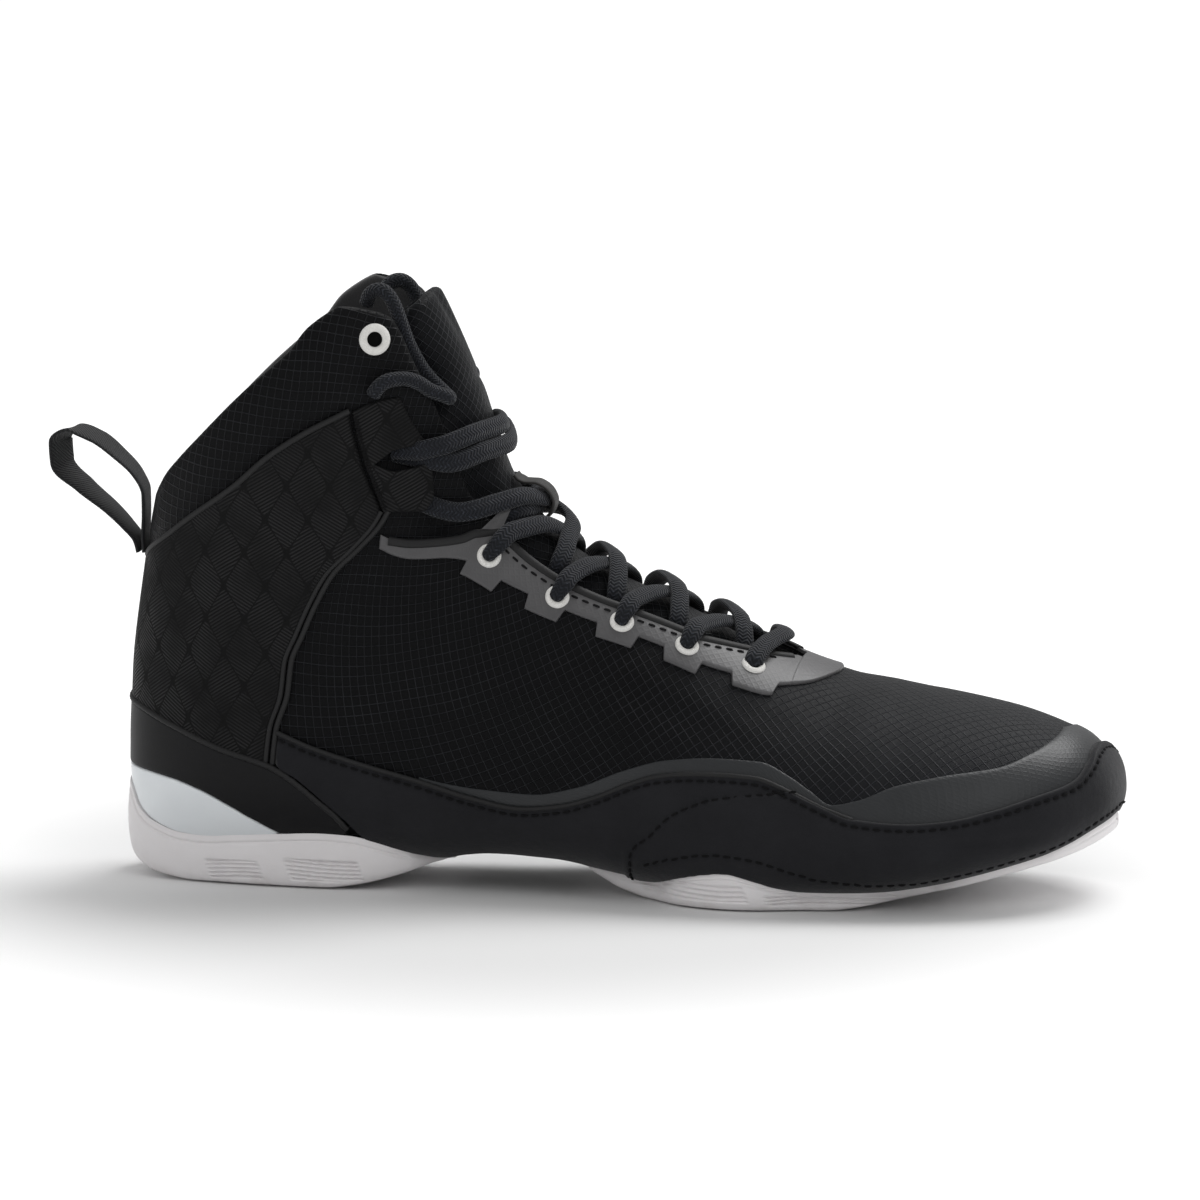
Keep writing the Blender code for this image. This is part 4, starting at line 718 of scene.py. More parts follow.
TOE_CAP_EDGE = np.array([
    (8, 153), (12, 154), (17, 155), (22, 161), (27, 166), (30, 171), (33.2, 180), (36, 205), (60, 330),
]) * MM
FILM_UPPER = np.array([
    (92.4, 35.5), (100, 33.9), (109.4, 32.7), (126.4, 31.8), (140.4, 34.6), (154.2, 40.2), (167.9, 44.0),
    (181.6, 45.0), (195.3, 44.4), (204.3, 40.6), (211.0, 36.6), (217.5, 32.9), (225, 34.2), (236, 38.4),
    (251, 41.0), (271.4, 42.8), (285.2, 45.4), (300, 47.8), (311, 49.0), (320.4, 49.6),
]) * MM


def smooth_line(points, count):
    """A monotone cubic line through given points, read at evenly spread places."""
    total = run_of(points)
    at = np.linspace(0, total[-1], count)
    return np.stack([smooth(at, total, column) for column in points.T], axis=1)


def read_at(at, travelled, values):
    """The values' columns at distances along a line, by straight interpolation."""
    return np.stack([np.interp(at, travelled, column) for column in values.T], axis=1)


def along(points, shares):
    """A smooth line through given points, read at shares of its length."""
    line = smooth_line(np.asarray(points, float), 400)
    travelled = run_of(line)
    return read_at(np.asarray(shares) * travelled[-1], travelled, line)


def closer_at_ends(count):
    """Shares from zero to one by an arc of sine, closer together toward both ends."""
    return 0.5 + 0.5 * np.sin(np.linspace(-1, 1, count) * 1.50) / math.sin(1.50)


def patch(lower, upper, first, last, run, rise):
    """Coons patch in (s, z): both pairs of edges blended, less the blend of the four corners."""
    low, high, start, end = along(lower, run), along(upper, run), along(first, rise), along(last, rise)
    a, f = run[:, None, None], rise[None, :, None]
    ruled = (1 - f) * low[:, None] + f * high[:, None] + (1 - a) * start[None] + a * end[None]
    return ruled - (1 - a) * ((1 - f) * low[0] + f * high[0]) - a * ((1 - f) * low[-1] + f * high[-1])


def straight_ended(lower, upper, run, rise):
    """A patch between two lines in (s, z) whose ends are joined straight."""
    return patch(lower, upper, np.array([lower[0], upper[0]]), np.array([lower[-1], upper[-1]]), run, rise)


def out_of(places, like):
    """Smooth ways out of a grid of places, on the side that the given ways point to."""
    out = normals_of(places)
    return out * np.sign((out * like).sum(axis=2).mean())


def joined(left, right, meets_at):
    """Rows of both sides as one run, joined at the heel's or the toe's centre line."""
    if meets_at == "heel":
        return np.concatenate([left[::-1], right[1:]])
    return np.concatenate([left, right[-2::-1]])


def laid_round(flat, meets_at):
    """Places and ways out of a patch or a line on both sides, joined at the centre line."""
    (left, left_like), (right, right_like) = (laid(flat[..., 0], flat[..., 1], side) for side in (-1, 1))
    return joined(left, right, meets_at), joined(left_like, right_like, meets_at)


def on_both_sides(flat, meets_at):
    """A patch laid on both sides and joined at the heel's or the toe's centre line: (s, z), places and
    ways out."""
    places, like = laid_round(flat, meets_at)
    out = out_of(places, like)
    return joined(flat, flat, meets_at), places - out * folds_at(places)[..., None], out


def from_edges(places, axis):
    """Metres from each point of a grid to the nearer end of its own row or column."""
    steps = np.linalg.norm(np.diff(places, axis=axis), axis=2)
    run = np.concatenate([np.zeros_like(np.take(steps, [0], axis)), np.cumsum(steps, axis)], axis)
    return np.minimum(run, np.take(run, [-1], axis) - run)


def rolled(distance, reach):
    """Height of a turned edge: a quarter circle from the edge to its full height at reach."""
    return np.sqrt(np.clip(1 - (1 - np.clip(distance / reach, 0.02, 1)) ** 2, 0, 1))


def plate(name, places, out, depth, reach, materials, lift=GAP, uv=None):
    """A sheet of the given depth on the cloth, with its edges turned down."""
    edge = np.minimum(from_edges(places, 0), from_edges(places, 1))
    height = lift + depth * rolled(edge, reach)
    if uv is None:
        middle = places.shape[0] // 2
        run = np.cumsum(np.linalg.norm(np.gradient(places, axis=0), axis=2), axis=0)
        rise = np.cumsum(np.linalg.norm(np.gradient(places, axis=1), axis=2), axis=1)
        uv = np.stack([run - run[middle], rise], axis=2)
    return shell(name, places + out * height[..., None], places + out * 0.1 * MM, uv, materials)


def stitch_rows(name, lines, thread, length=2.3 * MM, gap=0.9 * MM, radius=0.32 * MM):
    """Rows of stitches: along each line of places and ways out, a short rounded bar for every stitch."""
    turn = np.linspace(0, 2 * math.pi, 5)[:-1] + math.pi / 4
    rings = np.array([
        # along, girth, lift, in shares of the length and the radius
        (-0.5, 0.15, -0.5), (-0.36, 0.95, 0.3), (0.0, 1.1, 0.55), (0.36, 0.95, 0.3), (0.5, 0.15, -0.5),
    ])
    points, faces = [], []
    cell = np.arange(16).reshape(4, 4)
    beside = np.roll(cell, -1, axis=1)
    quads = np.stack([cell, cell + 4, beside + 4, beside], axis=2)
    base = 0
    for places, out in lines:
        travelled = run_of(places)
        count = max(int(travelled[-1] / (length + gap)), 1)
        at = (np.arange(count) + 0.5) * travelled[-1] / count
        centre, up, ahead = (read_at(at, travelled, field)
                             for field in (places, out, np.gradient(places, axis=0)))
        ahead /= np.linalg.norm(ahead, axis=1, keepdims=True)
        across = np.cross(up, ahead)
        across /= np.linalg.norm(across, axis=1, keepdims=True)
        grid = (centre[:, None, None] + ahead[:, None, None] * (rings[:, 0] * length)[None, :, None, None]
                + across[:, None, None] * (rings[:, 1, None] * np.cos(turn) * radius * 1.3)[None, :, :, None]
                + up[:, None, None] * (rings[:, 1, None] * np.sin(turn) * radius
                                       + rings[:, 2, None] * radius)[None, :, :, None])
        points.append(grid.reshape(-1, 3))
        starts = base + np.arange(count) * 20
        faces.append((quads.reshape(1, -1, 4) + starts[:, None, None]).reshape(-1, 4))
        base += count * 20
    points = np.concatenate(points)
    return mesh_piece(name, points, np.concatenate(faces), points[:, [0, 2]], [thread])


def seam(line, side, lift, on_rand=False):
    """A line of (s, z) points laid on the cloth, or on the rand's own height: places at the lift and
    ways out."""
    flat = along(line, np.linspace(0, 1, 260))
    places, like = laid(flat[:, 0], flat[:, 1], side)
    height = lift + (rand_depth(flat)[:, None] if on_rand else 0.0)
    return places + like * height, like


def suede_finish(name, color, worn):
    """Synthetic suede: a short nap that catches light in patches, with fine grain."""
    material, tree, shader = finish_of(name, color, 0.95, 0.12, Sheen_Weight=0.14, Sheen_Roughness=0.45)
    tint(tree, shader, span(tree, speckle(tree, 14 * MM, 3.0), 0.25, 0.8), color, worn)
    below = relief(tree, shader, speckle(tree, 2.2 * MM, 3.0), 0.16 * MM)
    relief(tree, shader, speckle(tree, 0.35 * MM, 3.0), 0.12 * MM, below)
    return material


def film_finish(name, color, roughness):
    """Thin moulded film bonded over the cloth, whose weave shows through it a little."""
    material, tree, shader = finish_of(name, color, roughness, 0.4)
    tint(tree, shader, speckle(tree, 5 * MM, 3.0), color, tuple(channel * 1.35 for channel in color))
    below = relief(tree, shader, speckle(tree, 0.5 * MM), 0.03 * MM)
    relief(tree, shader, thread_lines(tree, 1.75 * MM, 1.75 * MM, 0.7, 0.3), 0.03 * MM, below)
    return material


thread_black, thread_tree, thread_shader = finish_of("thread_black", (0.006, 0.006, 0.0065), 0.8, 0.10)
relief(thread_tree, thread_shader, speckle(thread_tree, 0.3 * MM), 0.05 * MM)
suede = suede_finish("suede", (0.0128, 0.0129, 0.0147), (0.0176, 0.0178, 0.0202))
rand_film = film_finish("rand_film", (0.0125, 0.0138, 0.0155), 0.45)


def rand_depth(flat):
    """Thickness of the rand at each (s, z): one layer, and a second one from the toe cap's edge on."""
    begins = np.interp(flat[..., 1], TOE_CAP_EDGE[:, 0], TOE_CAP_EDGE[:, 1])
    return SUEDE + ramp(flat[..., 0] - begins, 0, 1.6 * MM) * TOE_CAP_STEP


def lip_stations(lip, first, last, step=4 * MM):
    """The line just over a sole unit's lip, between two places along the side."""
    s = np.arange(first, last, step)
    return np.stack([s, smooth(s, lip[:, 0], lip[:, 1]) + LIP_GAP], axis=1)


def make_rand():
    """The patch between the lip and the upper line, thicker on the toe cap and drawn in along its seams."""
    run, rise = np.linspace(0, 1, 300), closer_at_ends(40)
    lower = np.concatenate([RAND_REAR[:1], lip_stations(HEEL_LIP, 77 * MM, 100 * MM), ARCH_EDGE,
                            lip_stations(FORE_LIP, 139 * MM, 321 * MM),
                            [(RAND_UPPER[-1, 0], FORE_LIP[-1, 1] + LIP_GAP)]])
    last = np.array([lower[-1], RAND_UPPER[-1]])
    flat = patch(lower, RAND_UPPER, RAND_REAR, last, run, rise)
    flat, places, out = on_both_sides(flat, "toe")
    s, z = flat[..., 0], flat[..., 1]
    begins = np.interp(z, TOE_CAP_EDGE[:, 0], TOE_CAP_EDGE[:, 1])
    below_edge = from_edges(places, 1)
    upper_half = rise[None] > 0.5
    sewn = np.exp(-((below_edge - 2.0 * MM) / (0.8 * MM)) ** 2) * upper_half
    sewn += np.exp(-((s - begins - 2.6 * MM) / (0.9 * MM)) ** 2) * (z < 33 * MM)
    folds = 0.35 * np.exp(-((z - 20.6 * MM - 0.055 * (s - 224 * MM)) / (1.1 * MM)) ** 2)
    folds -= 0.30 * np.exp(-((z - 23.4 * MM - 0.055 * (s - 224 * MM)) / (1.8 * MM)) ** 2)
    folds *= ramp(s, 214 * MM, 232 * MM) * (1 - ramp(s, 268 * MM, 292 * MM))
    depth = rand_depth(flat) - 0.55 * MM * sewn - folds * MM
    piece = plate("suede_band", places, out, depth, 1.0 * MM, [suede])
    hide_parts("suede_rand")


make_rand()


def make_film():
    """A band of film above the rand, broad along the ball and the toe, with a notch between the two."""
    run, rise = np.linspace(0, 1, 260), closer_at_ends(12)
    under = np.concatenate([[FILM_UPPER[0] - (0, 1.4 * MM)], RAND_UPPER[4:] - (0, 1.2 * MM)])
    _, places, out = on_both_sides(straight_ended(under, FILM_UPPER, run, rise), "toe")
    piece = plate("toe_film", places, out, 0.4 * MM, 0.7 * MM, [rand_film], lift=0.12 * MM)


make_film()
LOW_STITCHES = np.array([
    (161, 13.8), (171.5, 16.2), (183.1, 17.4), (194.4, 16.6), (210.5, 12.8), (229, 11.2), (240, 11.6),
    (250, 13.2), (262, 15.2), (276, 18.0), (288, 20.6), (296, 23.0), (307, 26.6), (320.4, 28.4),
]) * MM
cap_stitches = TOE_CAP_EDGE[:8, ::-1] + (2.6 * MM, 0)
edge_lines = []
for side_sign in (-1, 1):
    edge_lines += [
        seam(RAND_UPPER - (0, 2.1 * MM), side_sign, GAP - 0.30 * MM, True),
        seam(LOW_STITCHES, side_sign, GAP, True),
        seam(cap_stitches, side_sign, GAP - 0.30 * MM, True),
    ]
stitch_rows("rand_stitches", edge_lines, thread_black, 2.5 * MM, 0.8 * MM, 0.34 * MM)


# Heel: a white moulded wedge over the heel unit, and a smooth black counter of film over that, both bonded.
# A twisted cord is sewn along the counter's top, and a plain one along the rear of the rand.
COUNTER = 0.0012
WEDGE_TOP = np.array([
    (-16.05, 33.0), (0, 32.7), (15, 31.6), (25, 29.2), (34.6, 25.3), (43, 20.8), (49.5, 17.4),
]) * MM
COUNTER_TOP = np.array([
    (-16.05, 52), (0, 50.6), (11.5, 47.9), (34.6, 40.7), (47.5, 36.8), (54.2, 33), (62, 26.9), (67, 22.9),
    (70.6, 19.0),
]) * MM


def make_wedge():
    """The patch between the heel unit's lip and the wedge's top line, of one thickness."""
    lower = np.concatenate([[(-16.05 * MM, 27.9 * MM)], lip_stations(HEEL_LIP, -14 * MM, 48 * MM),
                            [(49.6 * MM, 16.6 * MM)]])
    flat = straight_ended(lower, WEDGE_TOP, np.linspace(0, 1, 90), closer_at_ends(24))
    flat, places, out = on_both_sides(flat, "heel")
    piece = plate("wedge", places, out, COUNTER, 0.6 * MM, [wedge_white])
    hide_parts("heel_wedge")


def make_counter():
    """The patch between the wedge's top line and its own, of one thickness."""
    lower = np.concatenate([WEDGE_TOP[:-1] - (0, 0.1 * MM), lip_stations(HEEL_LIP, 52.5 * MM, 71 * MM),
                            [(70.5 * MM, 17.3 * MM)]])
    flat = straight_ended(lower, COUNTER_TOP, np.linspace(0, 1, 110), closer_at_ends(30))
    flat, places, out = on_both_sides(flat, "heel")
    piece = plate("counter", places, out, COUNTER, 0.7 * MM, [counter_film], lift=GAP + 0.15 * MM)
    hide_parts("heel_counter")


def tube(path, ups, width, height, sides=12, twist=0.0):
    """An oval carried along a path: points, quads with end caps, and (length, girth) for each point."""
    ahead = np.gradient(path, axis=0)
    ahead /= np.linalg.norm(ahead, axis=1, keepdims=True)
    across = np.cross(ups, ahead)
    across /= np.linalg.norm(across, axis=1, keepdims=True)
    ups = np.cross(ahead, across)
    travelled = run_of(path)
    turn = np.linspace(0, 2 * math.pi, sides + 1)
    width, height = np.broadcast_to(width, len(path))[:, None], np.broadcast_to(height, len(path))[:, None]
    lobes = 1.0
    if twist:
        lobes = 0.86 + 0.14 * np.abs(np.cos(turn[None] + travelled[:, None] * twist / 2))
    grid = (path[:, None] + across[:, None] * (np.cos(turn) * width / 2 * lobes)[..., None]
            + ups[:, None] * (np.sin(turn) * height / 2 * lobes)[..., None])
    count, wide = grid.shape[:2]
    cell = (np.arange(count - 1)[:, None] * wide + np.arange(wide - 1)[None])
    faces = np.stack([cell, cell + 1, cell + wide + 1, cell + wide], axis=2).reshape(-1, 4).tolist()
    faces += [list(range(wide - 1)), list(range((count - 1) * wide, count * wide - 1))]
    girth_run = turn[None] * (width + height) / 4
    uv = np.stack([np.broadcast_to(travelled[:, None], girth_run.shape), girth_run], axis=2)
    return grid.reshape(-1, 3), faces, uv.reshape(-1, 2)


def gathered(name, tubes, materials):
    """One piece from several tubes."""
    points = np.concatenate([part[0] for part in tubes])
    starts = np.concatenate([[0], np.cumsum([len(part[0]) for part in tubes])])
    faces = [[corner + int(start) for corner in face]
             for part, start in zip(tubes, starts) for face in part[1]]
    return mesh_piece(name, points, faces, np.concatenate([part[2] for part in tubes]), materials)


def piping(name, lines, width, lift, twist=0.0):
    """Edging cord along lines of (s, z) on the cloth, each on one side or, from the heel, on both."""
    tubes = []
    for line, side in lines:
        flat = along(line, np.linspace(0, 1, 240))
        places, like = laid(flat[:, 0], flat[:, 1], side) if side else laid_round(flat, "heel")
        tubes.append(tube(places + like * lift, like, width, width * 0.9, 10, twist))
    return gathered(name, tubes, [edging])


wedge_white, wedge_tree, wedge_shader = finish_of("wedge_white", (0.68, 0.71, 0.73), 0.40, Coat_Weight=0.15)
relief(wedge_tree, wedge_shader, speckle(wedge_tree, 1.2 * MM, 4.0), 0.03 * MM)
wedge_clouds = speckle(wedge_tree, 18 * MM, 3.0)
tint(wedge_tree, wedge_shader, wedge_clouds, (0.78, 0.81, 0.83), (0.70, 0.735, 0.76))
counter_film, counter_tree, counter_shader = finish_of("counter_film", (0.0048, 0.0048, 0.0056), 0.50, 0.18)
relief(counter_tree, counter_shader, speckle(counter_tree, 0.45 * MM, 3.0), 0.05 * MM)
edging, edging_tree, edging_shader = finish_of("edging", (0.010, 0.010, 0.0105), 0.6, 0.3)
relief(edging_tree, edging_shader, speckle(edging_tree, 0.4 * MM), 0.08 * MM)
make_wedge()
make_counter()
rand_lines = [(RAND_UPPER[:16] - (0, 0.3 * MM), side_sign) for side_sign in (-1, 1)]
piping("rand_edging", rand_lines, 1.5 * MM, GAP + 0.9 * MM)
CORD_TWIST = 2 * math.pi / (2.4 * MM)
piping("counter_edging", [(COUNTER_TOP + (0, 0.4 * MM), 0)], 1.9 * MM, GAP + COUNTER * 0.9, CORD_TWIST)


# Ankle panel: suede-like sheet round the heel and ankle, pressed all over with lozenges in their own tone,
# with a rolled edging at the collar and a double ridge down its front.
PANEL = 0.0012
LOZENGE = 0.0125
GROOVE_PITCH = 0.0011
PANEL_FRONT = np.array([
    (46.2, 37.9), (47.4, 48.2), (50.6, 58.4), (51.8, 68.6), (55, 76.4), (58.6, 84.9), (64, 94.8),
    (71.5, 102.5), (77.2, 109), (79.8, 113.5), (77, 121), (74.2, 129), (72, 137), (70.8, 142.9),
]) * MM


def embossed_finish():
    """Nap pressed into lozenges of fine straight grooves. The product of two slanting cosines tells one
    lozenge from the next, and the grooves lean one way in one and the other way in its neighbours.
    Pressed places are smoother."""
    material, tree, shader = finish_of("embossed", (0.0075, 0.0075, 0.0078), 0.85, 0.20)
    forward, upward, _ = parts_of(tree, node(tree, "UVMap"))
    rising = calc(tree, "MULTIPLY", upward, 0.62)
    waves = []
    for operation in ("ADD", "SUBTRACT"):
        slant = calc(tree, operation, forward, rising)
        waves.append(calc(tree, "COSINE", calc(tree, "MULTIPLY", slant, math.pi / LOZENGE)))
    cells = calc(tree, "MULTIPLY", *waves)
    chosen = span(tree, cells, -0.04, 0.04)
    parts = []
    for slope, share in ((0.60, chosen), (-0.60, calc(tree, "SUBTRACT", 1.0, chosen))):
        lean = calc(tree, "ADD", upward, calc(tree, "MULTIPLY", forward, slope))
        folded = calc(tree, "PINGPONG", lean, GROOVE_PITCH / 2)
        parts.append(calc(tree, "MULTIPLY", span(tree, folded, 0.12 * MM, 0.42 * MM, soft=True), share))
    body = span(tree, calc(tree, "ABSOLUTE", cells), 0.03, 0.08, soft=True)
    worn = span(tree, speckle(tree, 16 * MM, 3.0), 0.38, 0.60, 0.25, 1.0)
    shown = calc(tree, "MULTIPLY", calc(tree, "MULTIPLY", calc(tree, "ADD", *parts), body), worn)
    tint(tree, shader, shown, (0.0036, 0.0036, 0.0038), (0.0122, 0.0122, 0.0128))
    tree.links.new(span(tree, shown, 0.0, 1.0, 0.9, 0.5), shader.inputs["Roughness"])
    below = relief(tree, shader, shown, 0.22 * MM)
    relief(tree, shader, speckle(tree, 0.4 * MM, 3.0), 0.09 * MM, below)
    return material


def make_panel():
    """The patch between the counter and the cuff. Its cloth map runs level, so that the emboss isn't
    bent."""
    lower = np.concatenate([COUNTER_TOP[:4] + (0, 0.3 * MM), PANEL_FRONT[:1]])
    flat = patch(lower, PANEL_TOP, np.array([lower[0], PANEL_TOP[0]]), PANEL_FRONT, np.linspace(0, 1, 110),
                 closer_at_ends(90))
    flat, places, out = on_both_sides(flat, "heel")
    middle = places.shape[0] // 2
    run = (np.arange(places.shape[0]) - middle)[:, None]
    uv = np.stack([np.sign(run) * (flat[..., 0] + 16.05 * MM), flat[..., 1]], axis=2)
    piece = plate("ankle_sheet", places, out, PANEL, 0.8 * MM, [embossed], uv=uv)
    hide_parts("ankle_panel")


embossed = embossed_finish()
make_panel()
piping("panel_edging", [(PANEL_TOP + (0, 0.5 * MM), 0)], 1.9 * MM, GAP + 0.7 * MM)
front_lines = [(PANEL_FRONT[:10] + (shift * MM, 0), side_sign)
               for side_sign in (-1, 1) for shift in (0.2, 2.3)]
piping("front_ridges", front_lines, 1.7 * MM, GAP + 0.4 * MM)


# Lace tabs: front ends of the embossed sheet, each sewn on at its rear with a zigzag of black thread. Each is
# slit across for the lace that runs behind it.
TAB_REAR = np.array([(80.6, 113.0), (77.8, 121), (75.0, 129), (72.8, 137), (71.6, 143.2)]) * MM
TAB_FRONT = np.array([
    (92.5, 113.6), (94.6, 118), (94.2, 127.3), (90.4, 136.2), (87.5, 141.5), (84.8, 147.4),
]) * MM
TAB_TOP = np.array([(71.6, 143.2), (78.7, 146.2), (84.8, 147.4)]) * MM
SLIT_SHARE = 0.47
SLIT_HEIGHT = 3.3 * MM
SLIT_ARCH = 1.9 * MM
CORNER_LIFT = 2.2 * MM
TAB_HEIGHT = 33 * MM


def make_tab(name, node_name, side):
    """The tab's patch with its rows parted at the slit, which is open where the two lips stand apart."""
    run = closer_at_ends(44)
    low_rows, high_rows = SLIT_SHARE * closer_at_ends(24), SLIT_SHARE + (1 - SLIT_SHARE) * closer_at_ends(24)
    rise = np.concatenate([low_rows, high_rows])
    flat = patch(np.array([TAB_REAR[0], TAB_FRONT[0]]), TAB_TOP, TAB_REAR, TAB_FRONT, run, rise)
    lens = ramp(run, 0.12, 0.50) ** 0.7 * (1 - 0.3 * ramp(run, 0.7, 1.0)) * SLIT_HEIGHT
    near = np.where(rise < SLIT_SHARE + 1e-9, -1, 1) * np.exp(-np.abs(rise - SLIT_SHARE) / 0.12)
    near[len(low_rows)] = 1.0
    flat[..., 1] += lens[:, None] * near[None]
    places, like = laid(flat[..., 0], flat[..., 1], side)
    out = out_of(places, like)
    at_slit = np.exp(-((rise - SLIT_SHARE) / 0.22) ** 2)[None]
    arch = SLIT_ARCH * at_slit * np.sin(np.clip(run, 0.04, 0.96) * math.pi)[:, None]
    arch += CORNER_LIFT * np.exp(-(rise / 0.20) ** 2)[None] * ramp(run, 0.30, 0.85)[:, None]
    places = places + out * arch[..., None]
    keep = np.ones((len(run) - 1, len(rise) - 1), bool)
    keep[:, len(low_rows) - 1] = (lens[:-1] + lens[1:]) < 1e-9
    edge = np.minimum(from_edges(places, 0), from_edges(places, 1))
    from_slit = np.abs(rise - SLIT_SHARE)[None] * TAB_HEIGHT + 0.25 * MM
    edge = np.minimum(edge, np.where(lens[:, None] > 0, from_slit, edge))
    height = GAP + PANEL * rolled(edge, 0.8 * MM)
    uv = flat * (side, 1)
    piece = shell(name, places + out * height[..., None], places + out * 0.1 * MM, uv, [embossed], keep)
    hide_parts(node_name)


zigzag_lines = []
for side_name, side_sign in (("outer", -1), ("inner", 1)):
    make_tab("tab_" + side_name, "lace_tab_" + side_name, side_sign)
    teeth = along(TAB_REAR + (0.8 * MM, 0), np.linspace(0.04, 0.96, 34))
    teeth[:, 0] += np.where(np.arange(34) % 2, 0.9, -0.9) * MM
    zigzag_lines += [seam(np.array([a, b]), side_sign, GAP + PANEL + 0.2 * MM)
                     for a, b in zip(teeth[:-1], teeth[1:])]
stitch_rows("tab_stitches", zigzag_lines, thread_black, 1.5 * MM, 0.1 * MM, 0.28 * MM)


# Eyestay: smooth film bonded round the throat, cut with a broad tooth under each eyelet, with a strip that
# runs back under the tab. A folded binding lies along the throat's edge with a row of stitches beside it.
FILM = 0.0007
STAY = np.array([
    # row and arc on its throat side, row and arc on its outer side; a zero arc there is the throat's edge
    (7.72, 0.0, 7.72, 3.0), (7.85, 0.0, 7.85, 9.5), (8.15, 0.0, 8.10, 16.5), (8.55, 0.0, 8.55, 22.5),
    (9.10, 0.0, 9.10, 26.6), (9.80, 0.0, 9.80, 27.4), (10.45, 0.0, 10.45, 28.4), (11.30, 0.0, 11.30, 27.8),
    (12.30, 0.0, 12.30, 27.5), (13.60, 0.0, 13.60, 28.2), (14.60, 0.0, 14.60, 29.9),
    (15.45, 0.0, 15.45, 32.2), (16.45, 0.0, 16.45, 34.8), (17.05, 27.5, 16.85, 36.4),
    (17.35, 32.0, 17.35, 40.0), (17.95, 38.5, 17.95, 45.8), (18.75, 46.5, 18.45, 50.5),
    (19.55, 53.5, 19.05, 54.8), (19.95, 56.0, 19.60, 58.0),
]) * (1, MM, 1, MM)
TEETH = np.array([(8.83, 9.79), (10.46, 11.26), (11.87, 12.78), (13.65, 14.60), (15.47, 16.70)])
TOOTH = 0.0044
EYELET_ROWS = np.array([9.42, 10.83, 12.29, 13.94, 16.19])
EYELET_INSETS = np.array([9.6, 6.2, 6.0, 6.2, 8.4]) * MM


def over_spot(u, arc):
    """Places and ways out at row u and arc metres from the instep line, outer side negative, from
    differences."""
    u, arc = np.broadcast_arrays(np.asarray(u, float), np.asarray(arc, float))

    def at(row, distance):
        """The place at a row and a signed distance from the instep line."""
        return np.where((distance < 0)[..., None], on_last(row, -distance, -1), on_last(row, distance, 1))

    step = 0.5 * MM
    ahead = at(np.minimum(u + 0.1, TOP_ROW), arc) - at(np.maximum(u - 0.1, 0), arc)
    out = np.cross(at(u, arc + step) - at(u, arc - step), ahead)
    return at(u, arc), out / np.linalg.norm(out, axis=-1, keepdims=True)


def make_eyestay():
    """Rows go from the toe end up both sides, and columns from one outer edge to the other's. The outer
    edge is pushed out at each tooth, and the cells over the open throat are left out."""
    knots = np.arange(len(STAY), dtype=float)
    at = np.linspace(0, len(STAY) - 1, 800)
    u_in, arc_in, u_out, arc_out = (smooth(at, knots, STAY[:, column]) for column in range(4))
    leaves = ramp(u_in, 16.3, 17.0)
    opening = np.where(u_in < THROAT_ROW, 0.0, 1.0)
    teeth = np.zeros_like(u_out)
    for start, end in TEETH:
        tooth = ramp(u_out, start - 0.035, start + 0.065) * (1 - ramp(u_out, end - 0.065, end + 0.035))
        teeth = np.maximum(teeth, tooth)
    arc_out = arc_out + TOOTH * teeth
    shares = closer_at_ends(26)
    halves = []
    for side in (-1, 1):
        edge = edge_arc(u_in, side) - 0.1 * MM
        inner = np.where(u_in > 16.2, edge * (1 - leaves) + np.maximum(arc_in, 0) * leaves, opening * edge)
        u = u_in[:, None] + (u_out - u_in)[:, None] * shares[None]
        arc = inner[:, None] + (arc_out - inner)[:, None] * shares[None]
        halves.append((u, side * arc))
    u = np.concatenate([halves[0][0][:, ::-1], halves[1][0]], axis=1)
    arc = np.concatenate([halves[0][1][:, ::-1], halves[1][1]], axis=1)
    places, out = over_spot(u, arc)
    middle = len(shares)
    keep = np.ones((len(at) - 1, 2 * middle - 1), bool)
    keep[u_in[:-1] >= THROAT_ROW - 0.004, middle - 1] = False
    across = np.linalg.norm(np.diff(places, axis=1), axis=2)
    run = np.concatenate([np.zeros((len(at), 1)), np.cumsum(across, axis=1)], axis=1)
    outer_edge = np.minimum(run, run[:, -1:] - run)
    from_throat = np.abs(run - (run[:, middle - 1:middle] + run[:, middle:middle + 1]) / 2)
    ends = np.minimum(at, len(STAY) - 1 - at)[:, None] * 4 * MM + 0.02 * MM
    border = np.minimum(outer_edge, ends)
    border = np.where((u_in >= THROAT_ROW)[:, None], np.minimum(border, from_throat), border)
    binding = 0.55 * MM * (1 - ramp(from_throat, 2.5 * MM, 3.3 * MM)) * ramp(u_in, 8.3, 8.9)[:, None]
    binding *= (1 - ramp(u_in, 16.6, 17.2))[:, None]
    height = GAP + (FILM + binding) * rolled(border, 0.9 * MM)
    length = np.cumsum(np.linalg.norm(np.gradient(places[:, middle], axis=0), axis=1))
    uv = np.stack([np.broadcast_to(length[:, None], arc.shape), arc], axis=2)
    outside, inside = places + out * height[..., None], places + out * 0.1 * MM
    piece = shell("eyestay_film", outside, inside, uv, [stay_film], keep)
    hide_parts("eyestay")


